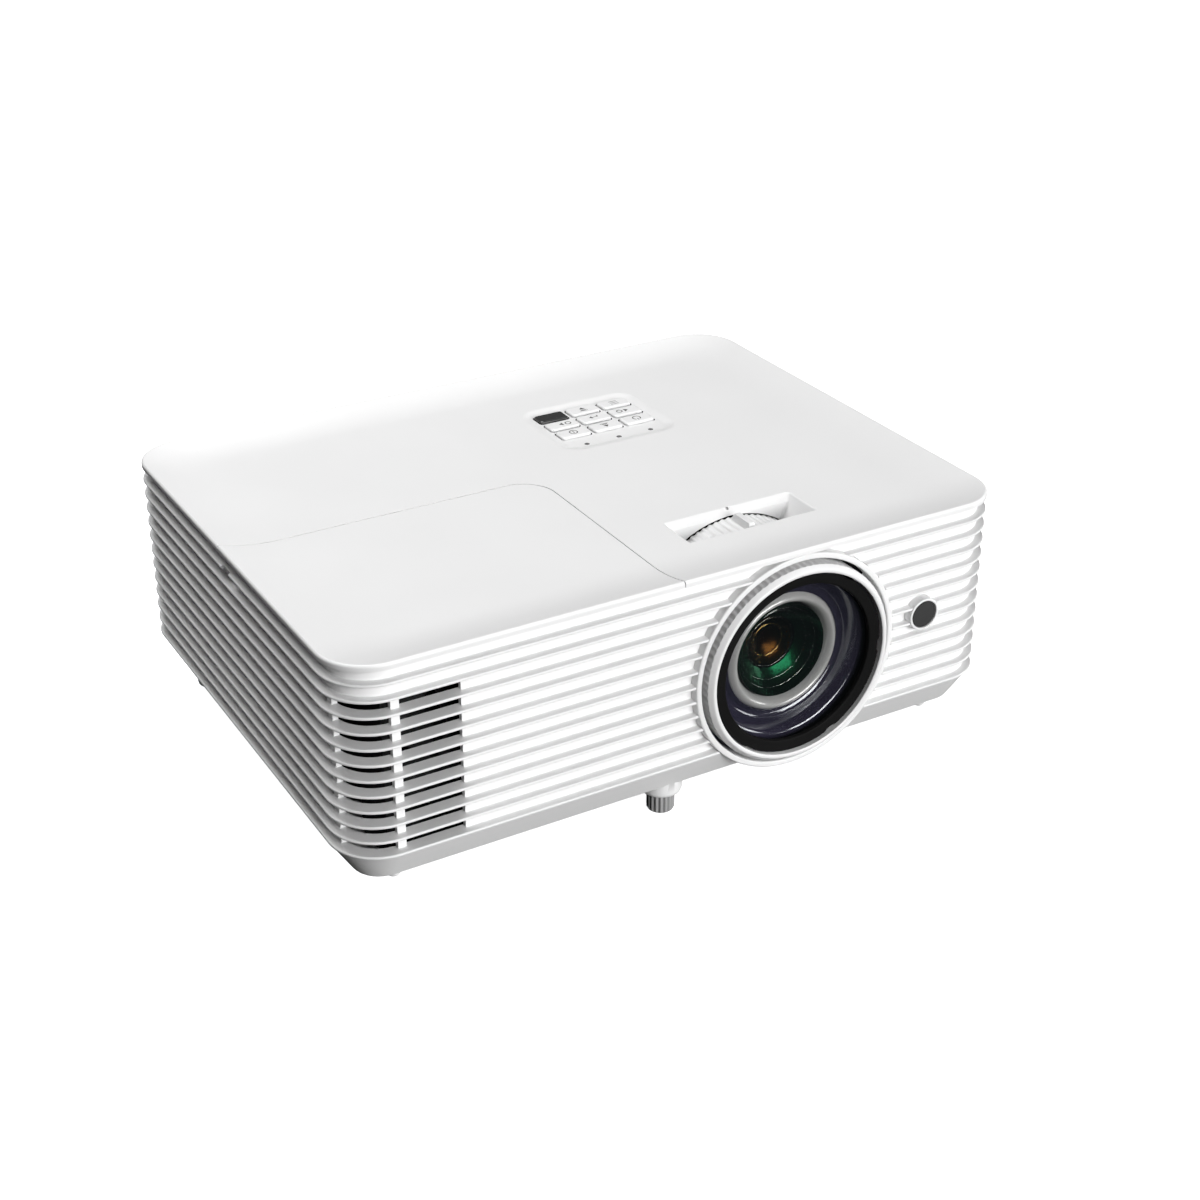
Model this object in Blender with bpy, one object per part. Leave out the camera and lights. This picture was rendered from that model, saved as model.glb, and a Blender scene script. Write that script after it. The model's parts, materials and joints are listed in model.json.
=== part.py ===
"""A white short-throw home projector, modelled as the pieces that it comes apart into.

Lengths below are millimetres and are turned into Blender's metres where a mesh is made.
+X is to the right of the lens side, the lens looks along -Y and +Z is up. The origin lies on the
table, under the middle of the whole object's box.
"""
import math

import bmesh
import bpy
from mathutils import Matrix, Vector

MM = 0.001
GAP = 0.3  # between two pieces that touch

# Case
WIDTH = 316.0
DEPTH = 238.5
CASE_HEIGHT = 102.15
CORNER_RADIUS = 22.0
WALL = 2.3
FOOT_HEIGHT = 15.85  # from the table to the underside of the case

# Side ribs
RIB_COUNT = 12
RIB_DEPTH = 3.9
RIB_THICKNESS = 1.35
FIRST_RIB = 9.0  # from the rim's top to the middle of the first rib
SKIRT_HEIGHT = 15.65  # from the middle of the last rib to the underside
SKIRT_INSET = 9.85

# Top
RIM_BAND = 2.75
DISH_DEPTH = 3.9
DISH_RISE = 26.0
DISH_CORNER = 12.0

# Lens, measured from its axis
LENS_FROM_RIGHT = 109.0
DRUM_RADIUS = 45.9
DRUM_WALL = 3.4
DRUM_LENGTH = 57.1
DRUM_CLEARANCE = 0.7  # to the underside of the top cover
LIP_INSET = 2.0  # the drum narrows by this much at its lip
RING_PROUD = 3.8  # how far the focus ring's lip stands in front of the ribs
BEZEL_CLEARANCE = 1.7  # from the drum to the bezel's inside
BEZEL_WALL = 2.7
BEZEL_PROUD = 0.3
RETAINER_WIDTH = 5.1
RETAINER_PROUD = 1.8  # in front of the ribs
RETAINER_DEPTH = 2.1
RETAINER_BEVEL = 0.9
CELL_CLEARANCE = 0.4  # between the sliding cell and the drum
CELL_WALL = 1.8
CELL_BEHIND_DRUM = 6.0
GLASS_CLEARANCE = 0.45  # from the retainer's back, at its inner edge
GLASS_FRONT_CURVE = 200.0
GLASS_BACK_CURVE = 70.0
GLASS_THICKNESS = 3.2
GLASS_STEPS = 4
BARREL_MOUTH_INSET = 5.5  # these three are measured inwards from the first lens's edge
BARREL_INSET = 11.0
THROAT_INSET = 20.0
BARREL_WALL = 2.0
BARREL_LENGTH = 26.0
THROAT_START = 12.0
SECOND_LENS_BEHIND = 6.0
THIRD_LENS_BEHIND = 15.0
MOUNT_NECK_RADIUS = 27.0
MOUNT_BORE = 22.0
MOUNT_THICKNESS = 4.0
MOUNT_CLEARANCE = 0.6

# Focus slot
SLOT_WIDTH = 64.3
SLOT_DEPTH = 21.1
SLOT_FROM_FRONT = 46.2  # to the middle of the slot
SLOT_FLARE = 7.0
SLOT_HEIGHT = 13.0
LEVER_WIDTH = 3.0
LEVER_LENGTH = 13.6
LEVER_ABOVE_FIELD = 0.9

# Keypad
KEYPAD_FROM_BACK = 70.4
KEYPAD_WIDTH = 62.4
KEYPAD_DEPTH = 53.6
KEYPAD_CORNER = 10.0
KEYPAD_RECESS = 1.0
KEY_WIDTH = 15.2
KEY_DEPTH = 8.6
KEY_PITCH_X = 17.25
KEY_PITCH_Y = 10.9
KEYS_BACK_OF_MIDDLE = 4.3
KEY_FLANGE = 0.45
LED_RADIUS = 1.1
LED_FRONT_OF_MIDDLE = 19.5

# Lamp cover
SEAM_FROM_LENS = 56.8
LAMP_COVER_DEPTH = 124.2
LAMP_COVER_CORNER = 16.0
NOTCH_LENGTH = 8.4
NOTCH_FROM_SEAM = 2.3

# Air vents
VENT_COUNT = 10
VENT_LENGTH = 25.9
VENT_POST = 3.6
VENT_TAIL = 7.0
OUTLET_LENGTH = 50.0
OUTLET_COUNT = 2

# Infra-red receiver in the front
EYE_RADIUS = 6.5
EYE_RING = 1.2
EYE_FROM_LENS = 67.3
EYE_ABOVE_LENS = 4.6
EYE_PROUD = 0.4

# Feet
KNOB_RADIUS = 6.15
KNOB_HEIGHT = 10.5
KNOB_FLUTES = 18
KNOB_SOFT = 1.2
KNOB_FLUTE_SHARE = 0.94  # radius between two grips, as a share of the knob's
STUD_RADIUS = 3.0
STUD_LOW = 3.2
STUD_TOP = 12.0  # above the underside
FOOT_BOSS_RADIUS = 9.2
FOOT_BOSS_DROP = 6.5
FRONT_FOOT_LEFT_OF_LENS = 55.5
FRONT_FOOT_INSET = 18.3
REAR_FOOT_FROM_SIDE = 20.6
REAR_FOOT_FROM_BACK = 21.8
STOP_RADIUS = 3.0
STOP_DROP = 5.85
STOP_FROM_SIDE = 25.35
STOP_FROM_FRONT = 18.2
SCREW_FROM_SIDE = 19.0
SCREW_FROM_MIDDLE = 60.0
SCREW_BOSS_TOP = 20.0  # above the underside
SCREW_BOSS_RADIUS = 4.5
SCREW_RADIUS = 1.5
SCREW_HEAD_RADIUS = 3.0
SCREW_HEAD_HEIGHT = 1.8
SCREW_HEAD_RECESS = 0.4
FOOT_POCKET = 4.5  # how far the pocket for the knob reaches above the underside
FOOT_BOSS_TOP = 18.0

# Rear panel
PANEL_WIDTH = 226.0
PANEL_HEIGHT = 58.0
PANEL_BELOW_RIM = 47.0  # to the middle of the panel
PORT_ROW_BELOW_RIM = 58.0
BOARD_THICKNESS = 1.6
# Name, distance from the panel's middle, width and height of each socket in the port row
PORTS = (
    ("hdmi_port_1", -18.0, 15.0, 5.6),
    ("hdmi_port_2", 6.0, 15.0, 5.6),
    ("vga_port", 36.0, 31.0, 11.5),
    ("usb_port", 64.0, 13.2, 6.0),
    ("audio_jack", 82.0, 8.0, 8.0),
)
PORT_PROUD = 0.6
PORT_DEPTH = 13.0
PORT_WALL = 0.5
PORT_BACK = 2.0
TONGUE_INSET = 2.5
TONGUE_BEHIND = 1.5
JACK_BORE = 1.8
INLET_X = -84.0
INLET_WIDTH = 27.5
INLET_HEIGHT = 20.0
INLET_DEPTH = 19.0
INLET_WALL = 1.6
PIN_PLACES = ((-7.0, -2.0), (0.0, 2.0), (7.0, -2.0))
PIN_SIZE = (2.0, 4.0)
PIN_BEHIND = 6.0

# Inside the case
FAN_SIZE = 80.0
FAN_DEPTH = 25.0
FAN_RIM = 2.0
FAN_HUB = 15.0
FAN_BLADES = 7
BLADE_CHORD = 16.0
BLADE_THICKNESS = 1.6
BLADE_PITCH = 38.0
STRUT_COUNT = 3
STRUT_WIDTH = 4.0
STRUT_DEPTH = 2.5
ROTOR_FRONT_GAP = 3.0
ROTOR_BACK_GAP = 3.5
FAN_ABOVE_FLOOR = 1.5
LAMP_MARGIN = 6.0
LAMP_WIDTH = 78.0
LAMP_DEPTH = 62.0
LAMP_BELOW_COVER = 12.0
LAMP_BORE = 25.0
REFLECTOR_RADIUS = 24.0
REFLECTOR_WALL = 1.5
WHEEL_RADIUS = 22.0
WHEEL_THICKNESS = 1.2
WHEEL_HUB_RADIUS = 5.0
WHEEL_HUB_LENGTH = 3.0
WHEEL_FROM_LAMP = 8.0
WHEEL_BEHIND_LAMP = 14.0
WHEEL_BELOW_LAMP = 8.0
MOTOR_RADIUS = 8.0
MOTOR_LENGTH = 10.4
ENGINE_FROM_WHEEL = 18.0
ENGINE_BEHIND_DRUM = 5.2
ENGINE_DEPTH = 56.8
ENGINE_PAST_LENS = 42.0
ENGINE_BELOW_COVER = 18.0
ENGINE_BEVEL = 3.0
FIN_COUNT = 5
FIN_PITCH = 9.0
FIN_GAP = 4.5
HEATSINK_DEPTH = 16.0
HEATSINK_BASE = 4.0
BOARD_BELOW_PORTS = 6.6
MAIN_BOARD_LEFT = 62.0
MAIN_BOARD_DEPTH = 58.0
MAIN_BOARD_BACK = 14.0
SUPPLY_WIDTH = 82.0
SUPPLY_PART_PITCH = 26.0
SUPPLY_PART_SIZE = (20.0, 26.0)
SUPPLY_PART_HEIGHT = 30.0
SUPPLY_PART_STEP = 6.0
BLOWER_RADIUS = 27.0
BLOWER_BORE = 16.0
BLOWER_HALF = 9.0
BLOWER_FROM_FRONT = 100.17
BLOWER_BELOW_LENS = 4.0
BLOWER_FROM_WALL = 20.0
VANE_COUNT = 9
VANE_INNER = 10.5
VANE_THICKNESS = 1.2
IMPELLER_PLATE = 1.5
IMPELLER_HALF = 7.0
IMPELLER_CLEARANCE = 0.6
SPEAKER_RADIUS = 20.0
SPEAKER_FROM_BACK = 70.0
SPEAKER_ABOVE_FLOOR = 24.0

# Worked out from the sizes above
RIM_Z = FOOT_HEIGHT + CASE_HEIGHT
CASE_Y = RING_PROUD / 2
FRONT_Y = CASE_Y - DEPTH / 2
BACK_Y = CASE_Y + DEPTH / 2
SIDE_X = WIDTH / 2
INNER = RIB_DEPTH + WALL
FIELD_Z = RIM_Z - DISH_DEPTH
COVER_UNDER_Z = FIELD_Z - WALL
RIB_PITCH = (CASE_HEIGHT - FIRST_RIB - SKIRT_HEIGHT) / (RIB_COUNT - 1)
UNDER_Z = FOOT_HEIGHT
FLOOR_Z = UNDER_Z + WALL
SPLIT_Z = UNDER_Z + SKIRT_HEIGHT - RIB_THICKNESS / 2
LENS_X = SIDE_X - LENS_FROM_RIGHT
LENS_Z = COVER_UNDER_Z - DRUM_CLEARANCE - DRUM_RADIUS
LIP_Y = FRONT_Y - RING_PROUD
BEZEL_RADIUS = DRUM_RADIUS + BEZEL_CLEARANCE + BEZEL_WALL
DRUM_BACK_Y = LIP_Y + DRUM_LENGTH
SLOT_Y = FRONT_Y + SLOT_FROM_FRONT
SEAM_X = LENS_X - SEAM_FROM_LENS
SEAM_Y = FRONT_Y + LAMP_COVER_DEPTH
KEYPAD_Y = BACK_Y - KEYPAD_FROM_BACK
KEYPAD_Z = FIELD_Z - KEYPAD_RECESS
KEYPAD_BOARD_Z = COVER_UNDER_Z - 3.1
FOOT_BOSS_Z = UNDER_Z - FOOT_BOSS_DROP
TRAY_WALL = WALL * 1.25  # measured across, where the wall slopes
INSIDE = SKIRT_INSET + TRAY_WALL + 1.5  # clear of the tray, from the case's outside
INSIDE_X = -SIDE_X + CORNER_RADIUS
LENS_SEGMENTS = 48


def rib_z(index):
    """Height of the middle of a rib, counted from 0 at the top."""
    return RIM_Z - FIRST_RIB - RIB_PITCH * index


def material(name, colour, roughness, metallic=0.0, alpha=1.0):
    made = bpy.data.materials.new(name)
    made.use_nodes = True
    shader = made.node_tree.nodes["Principled BSDF"]
    shader.inputs["Base Color"].default_value = (*colour, 1.0)
    shader.inputs["Roughness"].default_value = roughness
    shader.inputs["Metallic"].default_value = metallic
    shader.inputs["Alpha"].default_value = alpha
    made.diffuse_color = (*colour, alpha)
    return made


def add_object(name, mesh, at, look):
    thing = bpy.data.objects.new(name, mesh)
    thing.location = Vector(at) * MM
    bpy.context.scene.collection.objects.link(thing)
    if look and not mesh.materials:
        mesh.materials.append(look)
    return thing


def build(name, points, faces, at, look, smooth=False):
    """An object from millimetre points about `at`, with its faces turned outwards."""
    mesh = bpy.data.meshes.new(name)
    mesh.from_pydata([Vector(p) * MM for p in points], [], faces)
    shape = bmesh.new()
    shape.from_mesh(mesh)
    bmesh.ops.recalc_face_normals(shape, faces=shape.faces)
    shape.to_mesh(mesh)
    shape.free()
    if smooth:
        mesh.shade_smooth()
        mesh.set_sharp_from_angle(angle=math.radians(35))
    return add_object(name, mesh, at, look)


def cutter(thing):
    thing.hide_render = True
    thing.display_type = "WIRE"
    return thing


def boolean(target, other, operation="DIFFERENCE"):
    """Cuts `other` from the target, or joins it on, and makes it a helper."""
    step = target.modifiers.new(other.name, "BOOLEAN")
    step.operation = operation
    step.solver = "EXACT"
    step.object = cutter(other)


def rounded_ring(width, depth, radius, z, steps=4, centre=(0.0, 0.0)):
    """Points round a rectangle with rounded corners, at height z."""
    points = []
    for corner, (side_x, side_y) in enumerate(((1, 1), (-1, 1), (-1, -1), (1, -1))):
        middle_x = centre[0] + side_x * (width / 2 - radius)
        middle_y = centre[1] + side_y * (depth / 2 - radius)
        for step in range(steps + 1):
            angle = math.radians(90 * (corner + step / steps))
            x = middle_x + radius * math.cos(angle)
            y = middle_y + radius * math.sin(angle)
            points.append((x, y, z))
    return points


def bridge(rings, closed):
    """Points and faces of a skin over rings of equal length: a ring closed on itself, or capped ends."""
    count = len(rings[0])
    points = [p for ring in rings for p in ring]
    faces = []
    bands = len(rings) if closed else len(rings) - 1
    for band in range(bands):
        low = band * count
        high = ((band + 1) % len(rings)) * count
        for i in range(count):
            j = (i + 1) % count
            faces.append((low + i, low + j, high + j, high + i))
    if not closed:
        faces.append(tuple(range(count)))
        faces.append(tuple(range(len(points) - count, len(points))))
    return points, faces


def plate(name, width, depth, radius, bottom, top, at, look=None, steps=4):
    """A rounded rectangular block, standing from bottom to top."""
    rings = [rounded_ring(width, depth, radius, z, steps) for z in (bottom, top)]
    return build(name, *bridge(rings, False), at, look)


def block(name, low, high, look=None):
    """A plain box between two corners, with its origin in its middle."""
    middle = [(a + b) / 2 for a, b in zip(low, high)]
    half = [(b - a) / 2 for a, b in zip(low, high)]
    rings = []
    for z in (-half[2], half[2]):
        outline = ((-1, -1), (1, -1), (1, 1), (-1, 1))
        rings.append([(sx * half[0], sy * half[1], z) for sx, sy in outline])
    return build(name, *bridge(rings, False), middle, look)


TURN_TO = {
    "X": Matrix.Rotation(math.radians(90), 4, "Y"),
    "Y": Matrix.Rotation(math.radians(-90), 4, "X"),
    "Z": Matrix.Identity(4),
}


def turned(name, profile, at, axis, look=None, segments=32, closed=False, radius_of=None):
    """A profile of (radius, along) points turned about an axis.

    `closed` joins the profile's last point to its first, as for a tube. `radius_of` gives a
    factor on the radius at an angle, as for flutes.
    """
    rings = []
    for radius, along in profile:
        ring = []
        for step in range(segments):
            angle = math.tau * step / segments
            reach = radius * (radius_of(step) if radius_of else 1.0)
            point = Vector((reach * math.cos(angle), reach * math.sin(angle), along))
            ring.append(TURN_TO[axis] @ point)
        rings.append(ring)
    return build(name, *bridge(rings, closed), at, look, smooth=True)


def rod(name, radius, start, end, at, axis, look=None, segments=24):
    return turned(name, [(radius, start), (radius, end)], at, axis, look, segments)


def tube(name, outer, inner, start, end, at, axis, look=None, segments=32):
    profile = [(outer, start), (outer, end), (inner, end), (inner, start)]
    return turned(name, profile, at, axis, look, segments, closed=True)


def case_ring(inset, below_rim, steps=4, corner=None):
    """The case's outline, drawn in by `inset`, at a depth below the rim's top."""
    radius = CORNER_RADIUS - inset if corner is None else corner
    width = WIDTH - 2 * inset
    return rounded_ring(width, DEPTH - 2 * inset, radius, -below_rim, steps)


def dish_solid(name, look=None):
    """The whole top before it is split: the rim's band, its crest and the shallow dish."""
    crest = 1.2
    profile = [(INNER + GAP, RIM_BAND), (0.0, RIM_BAND), (0.0, crest), (0.35, 0.35), (crest, 0.0)]
    rings = [case_ring(INNER + GAP, DISH_DEPTH + WALL), *(case_ring(*p) for p in profile)]
    rise_steps = 6
    for step in range(1, rise_steps + 1):
        share = step / rise_steps
        inset = crest + (DISH_RISE - crest) * share
        fall = DISH_DEPTH * (1 - (1 - share) ** 2)
        corner = CORNER_RADIUS - (CORNER_RADIUS - DISH_CORNER) * inset / DISH_RISE
        rings.append(case_ring(inset, fall, corner=corner))
    return build(name, *bridge(rings, False), (0, CASE_Y, RIM_Z), look)


def seam_prism(name, grow):
    """A tall prism over the lamp cover's area, with its free corner rounded."""
    reach = CORNER_RADIUS  # past the case's outside
    low_x = -SIDE_X - reach
    low_y = FRONT_Y - reach
    edge_x = SEAM_X + grow
    edge_y = SEAM_Y + grow
    outline = [(low_x, low_y), (edge_x, low_y)]
    steps = 6
    for step in range(steps + 1):
        angle = math.radians(90 * step / steps)
        x = edge_x - LAMP_COVER_CORNER * (1 - math.cos(angle))
        y = edge_y - LAMP_COVER_CORNER * (1 - math.sin(angle))
        outline.append((x, y))
    outline.append((low_x, edge_y))
    rings = [[(x, y, z) for x, y in outline] for z in (FIELD_Z - reach, RIM_Z + reach)]
    return build(name, *bridge(rings, False), (0, 0, 0), None)


def lens_rod(name, radius, start_y, end_y):
    return rod(name, radius, start_y, end_y, (LENS_X, 0, LENS_Z), "Y", segments=LENS_SEGMENTS)


def key_places():
    """Column, row and position of each place on the keypad's grid, from the back left."""
    for row in range(3):
        for column in range(3):
            x = LENS_X + (column - 1) * KEY_PITCH_X
            y = KEYPAD_Y + KEYS_BACK_OF_MIDDLE + (1 - row) * KEY_PITCH_Y
            yield column, row, (x, y)


def led_places():
    return [(LENS_X + (i - 1) * KEY_PITCH_X, KEYPAD_Y - LED_FRONT_OF_MIDDLE) for i in range(3)]


def frustum(name, top, bottom, top_z, bottom_z):
    """A four-sided funnel shape. `top` and `bottom` are (low x, low y, high x, high y)."""
    rings = []
    for (x0, y0, x1, y1), z in ((bottom, bottom_z), (top, top_z)):
        rings.append([(x0, y0, z), (x1, y0, z), (x1, y1, z), (x0, y1, z)])
    return build(name, *bridge(rings, False), (0, 0, 0), None)


def slot_outline(z, grow):
    """The focus slot's plan at height z: its ends and back slope in, its front is upright."""
    share = (FIELD_Z - z) / SLOT_HEIGHT
    half = SLOT_WIDTH / 2 - SLOT_FLARE * share + grow
    back = SLOT_Y + SLOT_DEPTH / 2 - (SLOT_FLARE / 2) * share + grow
    return (LENS_X - half, SLOT_Y - SLOT_DEPTH / 2 - grow, LENS_X + half, back)


def make_top_cover(look):
    cover = dish_solid("top_cover", look)
    boolean(cover, seam_prism("cut_lamp_area", GAP / 2))
    low_z = FIELD_Z - SLOT_HEIGHT
    funnel_top = FIELD_Z - WALL / 2
    outlines = [slot_outline(z, WALL) for z in (funnel_top, low_z)]
    walls = frustum("slot_walls", *outlines, funnel_top, low_z)
    boolean(cover, walls, "UNION")
    above = RIM_Z + WALL
    below = low_z - WALL
    boolean(cover, frustum("cut_slot", slot_outline(above, 0), slot_outline(below, 0), above, below))
    boolean(cover, lens_rod("cut_drum", DRUM_RADIUS + GAP * 2, FRONT_Y + INNER, DRUM_BACK_Y + 2 * WALL))
    boolean(cover, lens_rod("cut_bezel", BEZEL_RADIUS + GAP, FRONT_Y - WALL, FRONT_Y + INNER + GAP))
    size = (KEYPAD_WIDTH, KEYPAD_DEPTH, KEYPAD_CORNER)
    boolean(cover, plate("cut_keypad", *size, KEYPAD_Z, RIM_Z, (LENS_X, KEYPAD_Y, 0)))
    below = COVER_UNDER_Z - WALL
    for column, row, (x, y) in key_places():
        name = f"cut_key_{row}{column}"
        size = (KEY_WIDTH + 2 * GAP, KEY_DEPTH + 2 * GAP, 1.5)
        boolean(cover, plate(name, *size, below, RIM_Z, (x, y, 0), steps=2))
    for index, (x, y) in enumerate(led_places()):
        boolean(cover, rod(f"cut_led_{index}", LED_RADIUS + GAP, below, RIM_Z, (x, y, 0), "Z", segments=12))
    return cover


def make_lamp_cover(look):
    cover = dish_solid("lamp_cover", look)
    boolean(cover, seam_prism("keep_lamp_area", -GAP / 2), "INTERSECT")
    return cover


def rib_profile():
    """(inset, depth below the rim) points down the ribbed outside of the case."""
    half = RIB_THICKNESS / 2
    soft = 0.25
    profile = [(RIB_DEPTH, RIM_BAND + GAP)]
    for index in range(RIB_COUNT):
        middle = RIM_Z - rib_z(index)
        profile.append((RIB_DEPTH, middle - half))
        profile.append((0.0, middle - half + soft))
        profile.append((0.0, middle + half - soft))
        foot = RIB_DEPTH if index < RIB_COUNT - 1 else soft
        profile.append((foot, middle + half))
    return profile


def vent_boxes():
    """Corner pairs of every air gap through the side wall, in plan: the front corner and the right side."""
    past = 0.4
    arc_x = -SIDE_X + CORNER_RADIUS
    arc_y = FRONT_Y + CORNER_RADIUS
    outer_y = FRONT_Y + RIB_DEPTH - past
    inner_y = FRONT_Y + INNER + past
    outer_x = -SIDE_X + RIB_DEPTH - past
    inner_x = -SIDE_X + INNER + past
    boxes = [((arc_x + VENT_POST, outer_y), (arc_x + VENT_POST + VENT_LENGTH, inner_y))]
    boxes.append(((outer_x, outer_y), (arc_x, arc_y - VENT_POST)))
    boxes.append(((outer_x, arc_y), (inner_x, arc_y + VENT_TAIL)))
    for index in range(OUTLET_COUNT):
        start = arc_y + CORNER_RADIUS + index * (OUTLET_LENGTH + VENT_POST)
        boxes.append(((-inner_x, start), (-outer_x, start + OUTLET_LENGTH)))
    return boxes


def make_vent_cutter():
    """Every vent opening as one set of boxes, one row between each two ribs."""
    points = []
    faces = []
    trim = 0.1  # keeps the cut inside the groove between two ribs
    for row in range(VENT_COUNT):
        high = rib_z(row + 1) - RIB_THICKNESS / 2 - trim
        low = rib_z(row + 2) + RIB_THICKNESS / 2 + trim
        for (x0, y0), (x1, y1) in vent_boxes():
            rings = [[(x0, y0, z), (x1, y0, z), (x1, y1, z), (x0, y1, z)] for z in (low, high)]
            start = len(points)
            box_points, box_faces = bridge(rings, False)
            points += box_points
            faces += [tuple(start + i for i in face) for face in box_faces]
    return build("cut_vents", points, faces, (0, 0, 0), None)


def make_side_shell(look):
    outside = [case_ring(*p) for p in rib_profile()]
    bottom = RIM_Z - SPLIT_Z
    inside = [case_ring(INNER, bottom), case_ring(INNER, RIM_BAND + GAP)]
    shell = build("side_shell", *bridge(outside + inside, True), (0, CASE_Y, RIM_Z), look)
    boolean(shell, make_vent_cutter())
    boolean(shell, lens_rod("cut_shell_lens", BEZEL_RADIUS + GAP, FRONT_Y - WALL, FRONT_Y + INNER + WALL))
    eye = (LENS_X + EYE_FROM_LENS, 0, LENS_Z + EYE_ABOVE_LENS)
    radius = EYE_RADIUS + EYE_RING + GAP
    boolean(shell, rod("cut_shell_eye", radius, FRONT_Y - WALL, FRONT_Y + INNER + WALL, eye, "Y"))
    half = PANEL_WIDTH / 2 + GAP
    middle = RIM_Z - PANEL_BELOW_RIM
    low = (-half, BACK_Y - INNER - WALL, middle - PANEL_HEIGHT / 2 - GAP)
    high = (half, BACK_Y + WALL, middle + PANEL_HEIGHT / 2 + GAP)
    boolean(shell, block("cut_shell_panel", low, high))
    notch_y = SEAM_Y - NOTCH_FROM_SEAM
    low = (-SIDE_X - WALL, notch_y - NOTCH_LENGTH, rib_z(0) - RIB_THICKNESS)
    high = (-SIDE_X + RIB_DEPTH - 0.1, notch_y, rib_z(0) + RIB_THICKNESS)
    boolean(shell, block("cut_pry_notch", low, high))
    return shell


def foot_places():
    """Name and plan position of each of the three adjustable feet."""
    side = SIDE_X - REAR_FOOT_FROM_SIDE
    back = BACK_Y - REAR_FOOT_FROM_BACK
    yield "front", (LENS_X - FRONT_FOOT_LEFT_OF_LENS, FRONT_Y + FRONT_FOOT_INSET)
    yield "rear_left", (-side, back)
    yield "rear_right", (side, back)


def screw_places():
    for side_x in (-1, 1):
        for side_y in (-1, 1):
            yield side_x * (SIDE_X - SCREW_FROM_SIDE), CASE_Y + side_y * SCREW_FROM_MIDDLE


def make_bottom_tray(look):
    top = RIM_Z - SPLIT_Z + GAP
    bottom = CASE_HEIGHT
    start = 0.9
    outside = [case_ring(start, top), case_ring(SKIRT_INSET, bottom)]
    inside = [case_ring(SKIRT_INSET + TRAY_WALL, bottom - WALL), case_ring(start + INNER, top)]
    rings = [outside[0], outside[1], inside[0], inside[1]]
    points, faces = bridge(rings, True)
    count = len(rings[0])
    # The open band between the two bottom rings becomes a floor: both rings are filled instead.
    faces = faces[:count] + faces[2 * count :]
    faces.append(tuple(range(count, 2 * count)))
    faces.append(tuple(range(2 * count, 3 * count)))
    tray = build("bottom_tray", points, faces, (0, CASE_Y, RIM_Z), look)
    for name, (x, y) in foot_places():
        low = FOOT_BOSS_Z
        soft = 2.2  # the boss's rounded lower edge
        outline = [(FOOT_BOSS_RADIUS - soft, low), (FOOT_BOSS_RADIUS - 0.6, low + 0.8)]
        outline += [(FOOT_BOSS_RADIUS, low + soft), (FOOT_BOSS_RADIUS, UNDER_Z + FOOT_BOSS_TOP)]
        boolean(tray, turned(f"boss_{name}", outline, (x, y, 0), "Z", segments=20), "UNION")
    for index, (x, y) in enumerate(screw_places()):
        low = UNDER_Z + WALL / 2
        high = UNDER_Z + SCREW_BOSS_TOP
        boss = rod(f"screw_boss_{index}", SCREW_BOSS_RADIUS, low, high, (x, y, 0), "Z", segments=12)
        boolean(tray, boss, "UNION")
    for side in (-1, 1):
        place = (side * (SIDE_X - STOP_FROM_SIDE), FRONT_Y + STOP_FROM_FRONT, 0)
        low = UNDER_Z - STOP_DROP
        outline = [(STOP_RADIUS - 0.8, low), (STOP_RADIUS, low + 0.8), (STOP_RADIUS, UNDER_Z + WALL / 2)]
        boolean(tray, turned(f"stop_{side}", outline, place, "Z", segments=12), "UNION")
    for name, (x, y) in foot_places():
        pocket_top = UNDER_Z + FOOT_POCKET
        hole = [(KNOB_RADIUS + GAP, FOOT_BOSS_Z - WALL), (KNOB_RADIUS + GAP, pocket_top)]
        hole += [(STUD_RADIUS + GAP, pocket_top), (STUD_RADIUS + GAP, UNDER_Z + FOOT_BOSS_TOP + WALL)]
        boolean(tray, turned(f"cut_boss_{name}", hole, (x, y, 0), "Z", segments=20))
    for index, (x, y) in enumerate(screw_places()):
        head_top = UNDER_Z + WALL + GAP
        hole = [(SCREW_HEAD_RADIUS + GAP, UNDER_Z - WALL), (SCREW_HEAD_RADIUS + GAP, head_top)]
        hole += [(SCREW_RADIUS + GAP, head_top), (SCREW_RADIUS + GAP, UNDER_Z + SCREW_BOSS_TOP + WALL)]
        boolean(tray, turned(f"cut_screw_{index}", hole, (x, y, 0), "Z", segments=12))
    reach = SKIRT_INSET - GAP / 2
    boolean(tray, lens_rod("cut_tray_bezel", BEZEL_RADIUS + GAP, FRONT_Y - WALL, FRONT_Y + reach))
    boolean(tray, lens_rod("cut_tray_drum", DRUM_RADIUS + GAP * 2, FRONT_Y, DRUM_BACK_Y + WALL))
    return tray


def make_lens_bezel(look):
    """A short sleeve round the lens, deeper at the bottom where the case's skirt slopes away."""
    inner = BEZEL_RADIUS - BEZEL_WALL
    front = FRONT_Y - BEZEL_PROUD
    back = FRONT_Y + SKIRT_INSET - GAP * 2
    soft = 0.6
    profile = [(BEZEL_RADIUS, back), (BEZEL_RADIUS, front + soft), (BEZEL_RADIUS - soft, front)]
    profile += [(inner + soft, front), (inner, front + soft), (inner, back)]
    bezel = turned("lens_bezel", profile, (LENS_X, 0, LENS_Z), "Y", look, segments=LENS_SEGMENTS, closed=True)
    low = (LENS_X - 2 * BEZEL_RADIUS, FRONT_Y + INNER - GAP, SPLIT_Z - GAP)
    high = (LENS_X + 2 * BEZEL_RADIUS, back + WALL, RIM_Z)
    boolean(bezel, block("cut_bezel_back", low, high))
    return bezel


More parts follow.
